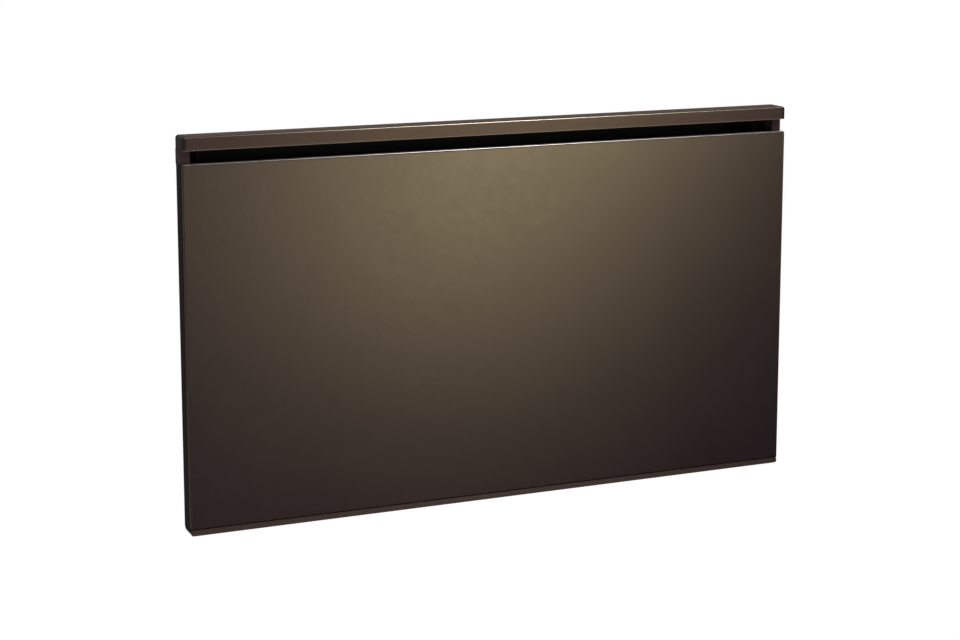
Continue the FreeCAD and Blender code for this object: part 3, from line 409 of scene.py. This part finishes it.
def zincSheet():
    plan = {
        "dark": colour(0.34, 0.355, 0.37),
        "light": colour(0.60, 0.615, 0.63),
        "spangle": 170.0,
        "wander": (60.0, 2.0),
        "drift": (12.0, 4.0),
        "toneShares": (0.55, 0.45),
        "metallic": 0.9,
        "roughness": 0.34,
        "facetRough": 0.16,
        "wanderSwing": 0.1,
        "relief": (0.08, 0.2 * mm),
    }
    material, board = newFinish("zincSheet")
    wander = noise(board, plan["wander"])
    cells = {"Vector": place(board), "Scale": plan["spangle"]}
    crystal = board.node("ShaderNodeTexVoronoi", None, cells, out="Color")
    facet = board.node("ShaderNodeSeparateColor", None, {"Color": crystal})
    drift = noise(board, plan["drift"])
    uneven = facet * plan["facetRough"] + (wander - half) * plan["wanderSwing"]
    shade(board, {
        "Base Color": toned(board, (facet, drift), plan["toneShares"], plan),
        "Metallic": plan["metallic"],
        "Roughness": plan["roughness"] + uneven,
        "Normal": bump(board, wander, plan["relief"]),
    })
    return material


def extrudedAluminium():
    plan = {
        "dark": colour(0.50, 0.505, 0.51),
        "light": colour(0.74, 0.745, 0.75),
        "lines": (4.0, 1400.0, 1400.0),
        "streak": (1.0, 3.0),
        "haze": (25.0, 3.0),
        "toneShares": (0.6, 0.4),
        "roughness": 0.30,
        "roughShares": (0.14, 0.08),
        "relief": (0.15, 0.1 * mm),
    }
    material, board = newFinish("extrudedAluminium")
    streak = noise(board, plan["streak"], stretched(board, plan["lines"]))
    grains = (streak, noise(board, plan["haze"]))
    shade(board, {
        "Base Color": toned(board, grains, plan["toneShares"], plan),
        "Metallic": 1.0,
        "Roughness": plan["roughness"] + shared(grains, plan["roughShares"]),
        "Normal": bump(board, streak, plan["relief"]),
    })
    return material


def turnedBrass():
    plan = {
        "dark": colour(0.46, 0.30, 0.10),
        "light": colour(0.74, 0.54, 0.24),
        "lines": (5200.0, 60.0, 60.0),
        "turning": (1.0, 2.0),
        "tarnish": (260.0, 4.0),
        "toneShares": (0.7, 0.3),
        "roughness": 0.24,
        "tarnishRough": 0.2,
        "relief": (0.12, 0.1 * mm),
    }
    material, board = newFinish("turnedBrass")
    tarnish = noise(board, plan["tarnish"])
    turning = noise(board, plan["turning"], stretched(board, plan["lines"]))
    shade(board, {
        "Base Color": toned(board, (tarnish, turning), plan["toneShares"], plan),
        "Metallic": 1.0,
        "Roughness": plan["roughness"] + tarnish * plan["tarnishRough"],
        "Normal": bump(board, turning, plan["relief"]),
    })
    return material


# Ceramic, plastics and rubber

def glazedCeramic():
    plan = {
        "dark": colour(0.62, 0.57, 0.49),
        "light": colour(0.80, 0.76, 0.69),
        "freckle": (1800.0, 3.0),
        "drift": (90.0, 2.0),
        "toneShares": (0.5, 0.5),
        "roughness": 0.42,
        "driftSwing": 0.2,
        "relief": (0.1, 0.1 * mm),
    }
    material, board = newFinish("glazedCeramic")
    freckle = noise(board, plan["freckle"])
    drift = noise(board, plan["drift"])
    shade(board, {
        "Base Color": toned(board, (freckle, drift), plan["toneShares"], plan),
        "Roughness": plan["roughness"] + (drift - half) * plan["driftSwing"],
        "Normal": bump(board, freckle, plan["relief"]),
    })
    return material


mouldGrain = {
    "spark": (2600.0, 2.0),
    "flow": (40.0, 3.0),
    "toneShares": (0.5, 0.5),
    "roughSwings": (0.14, 0.06),
    "relief": (0.25, 0.1 * mm),
}
blackPlastic = {
    "dark": colour(0.004, 0.004, 0.0045),
    "light": colour(0.010, 0.010, 0.0105),
    "roughness": 0.42,
    "level": 0.2,
}
palePlastic = {
    "dark": colour(0.52, 0.50, 0.44),
    "light": colour(0.66, 0.64, 0.58),
    "roughness": 0.42,
    "level": 0.5,
}
whiteInk = {
    "dark": colour(0.70, 0.70, 0.68),
    "light": colour(0.82, 0.82, 0.80),
    "roughness": 0.55,
    "level": 0.4,
}


def mouldedPlastic(name, plan):
    material, board = newFinish(name)
    spark = noise(board, mouldGrain["spark"])
    grains = (spark, noise(board, mouldGrain["flow"]))
    shade(board, {
        "Base Color": toned(board, grains, mouldGrain["toneShares"], plan),
        "Roughness": plan["roughness"] + swung(grains, mouldGrain["roughSwings"]),
        "Specular IOR Level": plan["level"],
        "Normal": bump(board, spark, mouldGrain["relief"]),
    })
    return material


def lampLens():
    plan = {
        "dark": colour(0.42, 0.045, 0.012),
        "light": colour(0.80, 0.15, 0.03),
        "glow": colour(0.30, 0.035, 0.008),
        "glowStrength": 0.35,
        "swirl": (700.0, 2.0),
        "roughness": 0.14,
        "swirlRough": 0.1,
        "rings": 9000.0,
        "relief": (0.5, 0.15 * mm),
    }
    material, board = newFinish("lampLens")
    low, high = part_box("pilot_lamp")
    middle = (low + high) / 2
    offset = board.node("ShaderNodeVectorMath", {"operation": "SUBTRACT"}, {0: place(board), 1: middle})
    flat = board.node("ShaderNodeVectorMath", {"operation": "MULTIPLY"}, {0: offset, 1: (0.0, 1.0, 1.0)})
    reach = board.node("ShaderNodeVectorMath", {"operation": "LENGTH"}, {0: flat}, out="Value")
    rings = board.node("ShaderNodeMath", {"operation": "SINE"}, {0: reach * plan["rings"]})
    swirl = noise(board, plan["swirl"])
    shade(board, {
        "Base Color": blend(board, swirl, plan["dark"], plan["light"]),
        "Roughness": plan["roughness"] + swirl * plan["swirlRough"],
        "Emission Color": blend(board, swirl, plan["glow"], plan["dark"]),
        "Emission Strength": plan["glowStrength"],
        "Normal": bump(board, rings, plan["relief"]),
    })
    return material


def rubber():
    plan = {
        "dark": colour(0.012, 0.012, 0.012),
        "light": colour(0.030, 0.029, 0.028),
        "bloom": (120.0, 4.0),
        "grit": (2400.0, 2.0),
        "toneShares": (0.7, 0.3),
        "roughness": 0.74,
        "bloomSwing": 0.2,
        "relief": (0.3, 0.1 * mm),
    }
    material, board = newFinish("rubber")
    bloom = noise(board, plan["bloom"])
    grit = noise(board, plan["grit"])
    shade(board, {
        "Base Color": toned(board, (bloom, grit), plan["toneShares"], plan),
        "Roughness": plan["roughness"] + (bloom - half) * plan["bloomSwing"],
        "Normal": bump(board, grit, plan["relief"]),
    })
    return material


# A finish for every solid

finishes = {
    "bronze_glass": bronzeGlass(),
    "bronze_metal": bronzePaint("bronzeMetal", capPaint),
    "bronze_plastic": bronzePaint("bronzePlastic", endPaint),
    "casing_paint": powderCoat("powderCoat", coatPaint),
    "galvanised": zincSheet(),
    "bare_aluminium": extrudedAluminium(),
    "ceramic": glazedCeramic(),
    "black_plastic": mouldedPlastic("blackPlastic", blackPlastic),
    "pale_plastic": mouldedPlastic("palePlastic", palePlastic),
    "lamp_plastic": lampLens(),
    "silicone": rubber(),
    "brass": turnedBrass(),
}
darkRail = bronzePaint("darkRail", railPaint)
greySpacer = bronzePaint("greySpacer", spacerPaint)
slotShadeBlack = powderCoat("slotShadeBlack", slotShadePaint)
ownFinish = {  # pieces that differ from the rest of their slot
    "bottom_rail": bronzePaint("lipRail", lipPaint),
    "side_rail_left": darkRail,
    "side_rail_right": darkRail,
    "top_rail": darkRail,
    "slot_spacer_left": greySpacer,
    "slot_spacer_right": greySpacer,
    # painted shade: the side angles are near-black like the shaded outlet slot
    "side_angle_left": slotShadeBlack,
    "side_angle_right": slotShadeBlack,
}
ink = mouldedPlastic("whiteInk", whiteInk)

for subpart in frame["record"]["subparts"]:
    mesh = nodes[subpart["node"]].data
    mesh.materials.clear()
    mesh.materials.append(ownFinish.get(subpart["node"], finishes[subpart["material_slot"]]))
print("finishes:", len(bpy.data.materials))


# Tools for small pieces

sharpAngle = math.radians(35)
mergeGap = 1e-6
roundSegments = 3
toRight = (1, 0, 0)


def linked(name, data):  # an object of the scene that holds the data
    made = bpy.data.objects.new(name, data)
    bpy.context.scene.collection.objects.link(made)
    return made


def asMesh(name, shape):
    mesh = bpy.data.meshes.new(name)
    shape.to_mesh(mesh)
    shape.free()
    return mesh


def closedMesh(name, shape):  # its faces point outwards
    bmesh.ops.recalc_face_normals(shape, faces=shape.faces)
    return asMesh(name, shape)


def addPiece(name, shape, slot, body, finish=None):
    mesh = closedMesh(name, shape)
    mesh.shade_smooth()
    mesh.set_sharp_from_angle(angle=sharpAngle)
    mesh.materials.append(finish or finishes[slot])
    piece = linked(name, mesh)
    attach(piece, body)
    return piece


def merge(shape):
    bmesh.ops.remove_doubles(shape, verts=shape.verts, dist=mergeGap)


def put(shape, matrix):  # moves a whole shape
    bmesh.ops.transform(shape, matrix=matrix, verts=shape.verts)


def gather(shape, part, matrix):  # adds a mesh to a shape at a place
    count = len(shape.verts)
    shape.from_mesh(part)
    shape.verts.ensure_lookup_table()
    bmesh.ops.transform(shape, matrix=matrix, verts=shape.verts[count:])


def facing(direction, spot, spin=0.0):  # turns local +Z to a direction, at a spot
    turn = Vector(direction).to_track_quat("Z", "Y").to_matrix().to_4x4()
    return Matrix.Translation(spot) @ turn @ Matrix.Rotation(spin, 4, "Z")


def onPlate(node):  # where the middle of a node meets the right side plate
    low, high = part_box(node)
    return Vector((plateRight, (low.y + high.y) / 2, (low.z + high.z) / 2))


def pivotOf(name):  # where a joint's axis lies
    joints = {joint["name"]: joint for joint in frame["record"]["behaviour"]["joints"]}
    return Vector(joints[name]["pos_m"])


def turned(outline, sides):  # spins (radius, height) points about Z
    shape = bmesh.new()
    points = [shape.verts.new((radius, 0.0, height)) for radius, height in outline]
    lines = [shape.edges.new(pair) for pair in zip(points, points[1:])]
    bmesh.ops.spin(
        shape,
        geom=points + lines,
        axis=(0, 0, 1),
        cent=(0, 0, 0),
        angle=math.tau,
        steps=sides,
        use_merge=True,
    )
    merge(shape)
    return shape


def block(size, rounding):  # a bar with all its edges rounded
    shape = bmesh.new()
    bmesh.ops.create_cube(shape, size=1.0)
    bmesh.ops.scale(shape, vec=size, verts=shape.verts)
    bmesh.ops.bevel(
        shape,
        geom=shape.edges,
        offset=rounding,
        segments=roundSegments,
        profile=0.5,
        affect="EDGES",
        material=-1,
    )
    return shape


def islands(node):  # the box of each loose solid of a node
    shape = bmesh.new()
    shape.from_mesh(nodes[node].data)
    merge(shape)
    left = set(shape.verts)
    boxes = []
    while left:
        reached = [left.pop()]
        for vert in reached:  # the list grows while it is walked
            near = {edge.other_vert(vert) for edge in vert.link_edges} & left
            left -= near
            reached.extend(near)
        corners = [[pick(vert.co[axis] for vert in reached) for axis in range(3)] for pick in (min, max)]
        boxes.append([Vector(corner) for corner in corners])
    shape.free()
    return sorted(boxes, key=lambda box: tuple(box[0]))


# Pan-head screws with a cross recess

screw = {
    "headRadius": 3.2 * mm,
    "headHeight": 1.8 * mm,
    "flatRadius": 2.1 * mm,
    "shoulderFoot": 0.35,  # the share of the head's height under its round shoulder
    "shoulderSteps": 4,
    "shankRadius": 1.75 * mm,
    "shankLength": 7.0 * mm,
    "threadDepth": 0.35 * mm,
    "threads": 6,
    "armReach": 1.75 * mm,
    "armHalf": 0.38 * mm,
    "recessDepth": 1.0 * mm,
    "recessTaper": 0.6,
    "sides": 24,
    "turn": 1.1,  # each screw stops at another angle
}


def screwOutline(plan):
    pitch = plan["shankLength"] / (plan["threads"] + 1)
    outline = [(0.0, -plan["shankLength"])]
    for thread in range(plan["threads"]):
        foot = -plan["shankLength"] + (thread + 0.5) * pitch
        outline.append((plan["shankRadius"] - plan["threadDepth"], foot))
        outline.append((plan["shankRadius"], foot + pitch / 2))
    outline.append((plan["shankRadius"], 0.0))
    outline.append((plan["headRadius"], 0.0))
    spread = plan["headRadius"] - plan["flatRadius"]
    for step in range(plan["shoulderSteps"] + 1):
        angle = math.radians(90) * step / plan["shoulderSteps"]
        rise = plan["shoulderFoot"] + (1 - plan["shoulderFoot"]) * math.sin(angle)
        outline.append((plan["flatRadius"] + spread * math.cos(angle), plan["headHeight"] * rise))
    return outline


def panScrew(plan):
    shape = turned(screwOutline(plan), plan["sides"])
    rim = [edge for edge in shape.edges if edge.is_boundary]
    corners = ((plan["armReach"], -1), (plan["armReach"], 1), (plan["armHalf"], 1))
    cross = []
    for quarter in range(4):
        turn = Matrix.Rotation(math.radians(90) * quarter, 4, "Z")
        for reach, side in corners:
            corner = Vector((reach, side * plan["armHalf"], plan["headHeight"]))
            cross.append(shape.verts.new(turn @ corner))
    mouth = [shape.edges.new(pair) for pair in zip(cross, cross[1:] + cross[:1])]
    bmesh.ops.bridge_loops(shape, edges=rim + mouth)
    walls = bmesh.ops.extrude_edge_only(shape, edges=mouth)["geom"]
    foot = [item for item in walls if isinstance(item, bmesh.types.BMVert)]
    taper = plan["recessTaper"]
    bmesh.ops.scale(shape, vec=(taper, taper, 1.0), verts=foot)
    bmesh.ops.translate(shape, vec=(0.0, 0.0, -plan["recessDepth"]), verts=foot)
    floor = [item for item in walls if isinstance(item, bmesh.types.BMEdge)]
    bmesh.ops.triangle_fill(shape, edges=floor, use_beauty=True)
    return closedMesh("panScrew", shape)


def screwGroup(node, axis):
    shape = bmesh.new()
    for index, (low, high) in enumerate(islands(node)):
        middle = (low + high) / 2
        outward = Vector((0.0, 0.0, 0.0))
        outward[axis] = 1.0 if axis == yAxis or middle[axis] > 0 else -1.0
        seat = middle.copy()
        seat[axis] = (high if outward[axis] > 0 else low)[axis] - outward[axis] * screw["headHeight"]
        gather(shape, screwMesh, facing(outward, seat, screw["turn"] * index))
    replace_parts(addPiece(node + "_pan", shape, "galvanised", "heater"), node)


screwMesh = panScrew(screw)
screwGroup("casing_screws", yAxis)
screwGroup("rear_screws", yAxis)
screwGroup("side_screws", xAxis)
print("screws: cross recessed")


# Dial marks on the thermostat knob

dial = {
    "numbers": 6,
    "step": math.radians(45),
    "radius": 9.6 * mm,
    "height": 3.6 * mm,
    "thick": 0.12 * mm,
    "barFrom": 4.2 * mm,
    "barTo": 12.0 * mm,
    "barWide": 1.1 * mm,
    "barThick": 0.35 * mm,
    "barRounding": 0.12 * mm,
    "grooveDepth": 0.8 * mm,
    "indexSides": 3,
    "indexRadius": 1.9 * mm,
    "indexGap": 3.4 * mm,
}
fromRight = Matrix(((0, 0, 1, 0), (1, 0, 0, 0), (0, 1, 0, 0), (0, 0, 0, 1)))  # flat work seen from +X


def figure(text, plan):
    font = bpy.data.curves.new("figure", "FONT")
    font.body = text
    font.size = plan["height"]
    font.extrude = plan["thick"] / 2
    font.align_x = "CENTER"
    font.align_y = "CENTER"
    holder = linked("figure", font)
    mesh = bpy.data.meshes.new_from_object(holder.evaluated_get(bpy.context.evaluated_depsgraph_get()))
    bpy.data.objects.remove(holder)
    bpy.data.curves.remove(font)
    return mesh


def dialFigures(plan, hub):
    shape = bmesh.new()
    for number in range(1, plan["numbers"] + 1):
        swing = Matrix.Rotation(plan["step"] * number, 4, "X")
        spot = Matrix.Translation((plan["thick"] / 2, 0.0, plan["radius"]))
        gather(shape, figure(str(number), plan), Matrix.Translation(hub) @ swing @ spot @ fromRight)
    merge(shape)
    addPiece("dial_figures", shape, "pale_plastic", "knob", ink)


def dialPointer(plan, hub):
    bar = block((plan["barThick"], plan["barWide"], plan["barTo"] - plan["barFrom"]), plan["barRounding"])
    rise = (plan["barFrom"] + plan["barTo"]) / 2
    sink = plan["barThick"] / 2 - plan["grooveDepth"]
    put(bar, Matrix.Translation(hub + Vector((sink, 0.0, rise))))
    addPiece("dial_pointer", bar, "pale_plastic", "knob", ink)


def dialIndex(plan, spot):  # a triangle on the plate that points down at the dial
    index = bmesh.new()
    bmesh.ops.create_circle(index, cap_ends=True, segments=plan["indexSides"], radius=plan["indexRadius"])
    lifted = bmesh.ops.extrude_face_region(index, geom=index.faces[:])["geom"]
    raised = [item for item in lifted if isinstance(item, bmesh.types.BMVert)]
    bmesh.ops.translate(index, vec=(0.0, 0.0, plan["thick"]), verts=raised)
    pointDown = Matrix.Rotation(math.pi, 4, "Z")
    put(index, Matrix.Translation(spot) @ fromRight @ pointDown)
    addPiece("dial_index", index, "pale_plastic", "heater", ink)


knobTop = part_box("thermostat_knob")[1]
knobFoot = onPlate("thermostat_knob")
knobFace = Vector((knobTop.x, knobFoot.y, knobFoot.z))
dialFigures(dial, knobFace)
dialPointer(dial, knobFace)
dialIndex(dial, Vector((plateRight, knobFoot.y, knobTop.z + dial["indexGap"])))
print("dial: marked")


# Marks on the power rocker

rocker = {
    "joint": "rocker_tilt",
    "tilt": math.radians(7.0),
    "saddle": 4.2 * mm,  # face height over the pivot at the middle
    "slope": math.radians(8.65),
    "reach": 5.2 * mm,
    "thick": 0.15 * mm,
    "strokeLong": 3.2 * mm,
    "strokeWide": 0.7 * mm,
    "strokeRounding": 0.05 * mm,
    "ringRadius": 1.45 * mm,
    "ringWide": 0.7 * mm,
    "ringSides": 32,
}


def rockerMarks(plan):
    shape = bmesh.new()
    stroke = block((plan["thick"], plan["strokeWide"], plan["strokeLong"]), plan["strokeRounding"])
    rise = plan["thick"] / 2
    inner = plan["ringRadius"] - plan["ringWide"] / 2
    outer = plan["ringRadius"] + plan["ringWide"] / 2
    section = [(inner, -rise), (outer, -rise), (outer, rise), (inner, rise), (inner, -rise)]
    ring = turned(section, plan["ringSides"])
    put(ring, Matrix.Rotation(math.radians(90), 4, "Y"))
    rest = Matrix.Translation(pivotOf(plan["joint"])) @ Matrix.Rotation(plan["tilt"], 4, "Y")
    lift = plan["saddle"] + plan["reach"] * math.tan(plan["slope"])
    for mark, side in ((stroke, 1), (ring, -1)):
        spot = Matrix.Translation((lift, 0.0, side * plan["reach"]))
        lean = Matrix.Rotation(side * plan["slope"], 4, "Y")
        gather(shape, closedMesh("rockerMark", mark), rest @ spot @ lean)
    addPiece("rocker_marks", shape, "pale_plastic", "rocker", ink)


rockerMarks(rocker)
print("rocker: marked")


# Bezel of the pilot lamp

bezel = {"gap": 0.1 * mm, "wide": 1.5 * mm, "high": 1.3 * mm, "lip": 0.4 * mm, "sides": 48}


def lampBezel(plan):
    low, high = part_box("pilot_lamp")
    inner = (high.y - low.y) / 2 + plan["gap"]
    outer = inner + plan["wide"]
    lip = plan["lip"]
    outline = [
        (inner, 0.0), (outer, 0.0), (outer, plan["high"] - lip), (outer - lip, plan["high"]),
        (inner + lip, plan["high"]), (inner, plan["high"] - lip), (inner, 0.0),
    ]
    shape = turned(outline, plan["sides"])
    put(shape, facing(toRight, onPlate("pilot_lamp")))
    addPiece("lamp_bezel", shape, "black_plastic", "heater")


lampBezel(bezel)
print("lamp: framed")


# Grip ribs and seal of the cable gland

gland = {
    "ribs": 14,
    "domeRadius": 8.5 * mm,
    "ribFrom": 3.2 * mm,
    "ribTo": 9.0 * mm,
    "ribWide": 1.3 * mm,
    "ribProud": 0.6 * mm,
    "ribSunk": 0.5 * mm,
    "ribRounding": 0.25 * mm,
    "boreRadius": 4.0 * mm,
    "sealWall": 0.8 * mm,
    "sealFrom": 9.4 * mm,
    "sealTo": 10.8 * mm,
    "sealSides": 40,
}


def glandRibs(plan, stand):
    long = plan["ribTo"] - plan["ribFrom"]
    thick = plan["ribProud"] + plan["ribSunk"]
    rib = closedMesh("glandRib", block((thick, plan["ribWide"], long), plan["ribRounding"]))
    shape = bmesh.new()
    out = plan["domeRadius"] + (plan["ribProud"] - plan["ribSunk"]) / 2
    for count in range(plan["ribs"]):
        swing = Matrix.Rotation(math.tau * count / plan["ribs"], 4, "Z")
        spot = Matrix.Translation((out, 0.0, (plan["ribFrom"] + plan["ribTo"]) / 2))
        gather(shape, rib, stand @ swing @ spot)
    addPiece("gland_ribs", shape, "black_plastic", "heater")


def glandSeal(plan, stand):
    inner = plan["boreRadius"] - plan["sealWall"]
    middle = (plan["sealFrom"] + plan["sealTo"]) / 2
    outline = [
        (plan["boreRadius"], plan["sealFrom"]), (plan["boreRadius"], plan["sealTo"]),
        (inner, middle), (plan["boreRadius"], plan["sealFrom"]),
    ]
    seal = turned(outline, plan["sealSides"])
    put(seal, stand)
    addPiece("gland_seal", seal, "silicone", "heater")


glandStand = facing(toRight, onPlate("cable_gland"))
glandRibs(gland, glandStand)
glandSeal(gland, glandStand)
print("gland: ribbed")


# Spot welds on the side angles

weld = {
    "radius": 1.5 * mm,
    "proud": 0.22 * mm,
    "count": 7,
    "inset": 18.0 * mm,
    "setBack": 0.5 * mm,
    "meridians": 20,
    "rings": 10,
}


def spotWelds(side, plan):
    low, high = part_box("side_angle_" + side)
    face = low.x if side == "left" else high.x
    seat = (low.y + high.y) / 2 + plan["setBack"]
    run = high.z - low.z - 2 * plan["inset"]
    flatten = Matrix.Diagonal((plan["proud"], plan["radius"], plan["radius"], 1.0))
    globe = {"u_segments": plan["meridians"], "v_segments": plan["rings"], "radius": 1.0}
    shape = bmesh.new()
    for count in range(plan["count"]):
        height = low.z + plan["inset"] + run * count / (plan["count"] - 1)
        spot = Matrix.Translation((face, seat, height)) @ flatten
        bmesh.ops.create_uvsphere(shape, matrix=spot, **globe)
    addPiece("spot_welds_" + side, shape, "casing_paint", "heater")


spotWelds("left", weld)
spotWelds("right", weld)
print("welds: added")


# Painted driver slots of the bracket locks

lockMark = {"slot": 1.4 * mm, "inset": 0.5 * mm, "wide": 1.2 * mm, "thick": 0.9 * mm, "rounding": 0.12 * mm}


def lockMarks(side, plan):
    lock = "lock_" + side
    low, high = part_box(lock)
    hub = pivotOf(lock + "_turn")
    shape = block((high.x - low.x - 2 * plan["inset"], plan["wide"], plan["thick"]), plan["rounding"])
    put(shape, Matrix.Translation((hub.x, hub.y, high.z - plan["slot"] + plan["thick"] / 2)))
    addPiece("lock_mark_" + side, shape, "pale_plastic", lock, ink)


lockMarks("left", lockMark)
lockMarks("right", lockMark)
print("locks: marked")


# Bead of sealant under the glass

bead = {"inset": 0.4 * mm, "back": 0.03 * mm, "deep": 1.9 * mm, "sunk": 2.0 * mm, "rounding": 0.03 * mm}


def glassBead(plan):
    low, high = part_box("glass_panel")
    foot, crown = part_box("glass_setting_pads")
    bottom = foot.z - plan["sunk"]
    shape = block((high.x - low.x - 2 * plan["inset"], plan["deep"], crown.z - bottom), plan["rounding"])
    spot = ((low.x + high.x) / 2, low.y + plan["back"] + plan["deep"] / 2, (bottom + crown.z) / 2)
    put(shape, Matrix.Translation(spot))
    addPiece("glass_bead", shape, "silicone", "heater", ownFinish["bottom_rail"])


glassBead(bead)
print("glass: sealed")


# Studio

studio = {
    "floorHeight": -0.62,
    "floorSize": 24.0,
    "floorMiddle": (0.0, 11.6),
    "floorDark": colour(0.86, 0.86, 0.86),
    "floorLight": colour(0.90, 0.90, 0.90),
    "floorMottle": (3.0, 3.0),
    "floorRough": 0.9,
    "floorWhite": 0.95,  # how much of the floor the camera sees as plain white
    "floorGlow": 1.028,  # with the lit share, the open floor is as white as the sky
    "ambient": 0.50,
    "cardDistance": 7.0,
    "cardSize": 26.0,
    "cardDark": colour(0.010, 0.008, 0.008),
    "cardLight": colour(0.016, 0.013, 0.012),
    "cardNap": (4.0, 3.0),
}


def whiteRoom():
    world = bpy.data.worlds.new("whiteRoom")
    world.use_nodes = True
    bpy.context.scene.world = world
    board = Board(world.node_tree)
    seen = board.node("ShaderNodeLightPath", out="Is Camera Ray")
    for output in ("Is Glossy Ray", "Is Transmission Ray"):  # these meet the same white
        ray = board.node("ShaderNodeLightPath", out=output)
        seen = larger(board, seen, ray)
    strength = studio["ambient"] + seen * (1.0 - studio["ambient"])
    sky = board.node("ShaderNodeBackground", None, {"Color": colour(1.0, 1.0, 1.0), "Strength": strength})
    board.node("ShaderNodeOutputWorld", None, {"Surface": sky})


def flatSheet(name, size, turn, centre):
    sheet = bmesh.new()
    bmesh.ops.create_grid(sheet, x_segments=1, y_segments=1, size=size / 2)
    put(sheet, Matrix.Translation(centre) @ turn)
    made = linked(name, asMesh(name, sheet))
    return made


def paleFloor():
    x, y = studio["floorMiddle"]
    floor = flatSheet("paleFloor", studio["floorSize"], Matrix.Identity(4), (x, y, studio["floorHeight"]))
    material, board = newFinish("paleFloor")
    tone = blend(board, noise(board, studio["floorMottle"]), studio["floorDark"], studio["floorLight"])
    paint = {"Base Color": tone, "Roughness": studio["floorRough"]}
    matt = board.node("ShaderNodeBsdfPrincipled", None, paint)
    glow = board.node("ShaderNodeEmission", None, {"Strength": studio["floorGlow"]})
    seen = board.node("ShaderNodeLightPath", out="Is Camera Ray")
    surface = board.node("ShaderNodeMixShader", None, {0: seen * studio["floorWhite"], 1: matt, 2: glow})
    board.node("ShaderNodeOutputMaterial", None, {"Surface": surface})
    floor.data.materials.append(material)


def darkCard():  # what the glass mirrors in front of it
    upright = Matrix.Rotation(math.radians(90), 4, "X")
    card = flatSheet("darkCard", studio["cardSize"], upright, (0.0, -studio["cardDistance"], 0.0))
    material, board = newFinish("darkCard")
    tone = blend(board, noise(board, studio["cardNap"]), studio["cardDark"], studio["cardLight"])
    shade(board, {"Base Color": tone, "Roughness": 1.0, "Specular IOR Level": 0.0})
    card.data.materials.append(material)
    card.visible_camera = False
    card.visible_diffuse = False
    card.visible_shadow = False
    card.visible_transmission = False


softBoxes = {
    "frontRight": {
        "place": (0.848, -1.796, 0.146),
        "aim": (-0.537, -0.09, 0.203),
        "size": (1.116, 0.414),
        "roll": 57.0,
        "spread": 68.8,
        "power": 4.53,
        "colour": (1.0, 0.98, 0.93),
    },
    "frontLeft": {
        "place": (-1.45, -1.50, -0.15),
        "aim": (0.0, -0.09, 0.05),
        "size": (1.3, 0.6),
        "roll": -50.0,
        "spread": 80.0,
        "power": 3.2,
        "colour": (1.0, 0.98, 0.93),
    },
    "overhead": {
        "place": (0.625, -1.205, 1.170),
        "aim": (0.03, -0.094, 0.222),
        "size": (0.3, 0.3),
        "roll": 0.0,
        "spread": 180.0,
        "power": 12.0,
        "colour": (1.0, 0.98, 0.95),
    },
    "rearHigh": {
        "place": (0.15, 2.0, 1.7),
        "aim": (0.0, 0.0, 0.0),
        "size": (1.2, 0.8),
        "roll": 0.0,
        "spread": 180.0,
        "power": 14.0,
        "colour": (1.0, 1.0, 1.0),
    },
}


def softBox(name, plan):
    light = bpy.data.lights.new(name, "AREA")
    light.shape = "RECTANGLE"
    light.size, light.size_y = plan["size"]
    light.energy = plan["power"]
    light.color = plan["colour"]
    light.spread = math.radians(plan["spread"])
    lamp = linked(name, light)
    lamp.location = plan["place"]
    aim = Vector(plan["aim"]) - Vector(plan["place"])
    roll = Matrix.Rotation(math.radians(plan["roll"]), 4, "Z")
    lamp.rotation_euler = (aim.to_track_quat("-Z", "Y").to_matrix().to_4x4() @ roll).to_euler()
    lamp.visible_camera = False


whiteRoom()
paleFloor()
darkCard()
for lampName, lampPlan in softBoxes.items():
    softBox(lampName, lampPlan)
print("studio: lit")


# Camera

cameraPlan = {
    "place": (-0.954, -2.247, 0.505),
    "turn": 23.3,
    "tip": 9.643,
    "lens": 78.9,
    "sensor": 36.0,
    "shiftY": -0.10,
}


def setCamera(plan):
    lens = bpy.data.cameras.new("photoView")
    lens.lens = plan["lens"]
    lens.sensor_width = plan["sensor"]
    lens.shift_y = plan["shiftY"]
    camera = linked("photoView", lens)
    camera.location = plan["place"]
    camera.rotation_euler = (math.radians(90 - plan["tip"]), 0.0, math.radians(-plan["turn"]))
    bpy.context.scene.camera = camera


setCamera(cameraPlan)
bpy.context.scene.view_settings.view_transform = "Standard"
print("camera: set")


# The end of the build


print("scene: built")
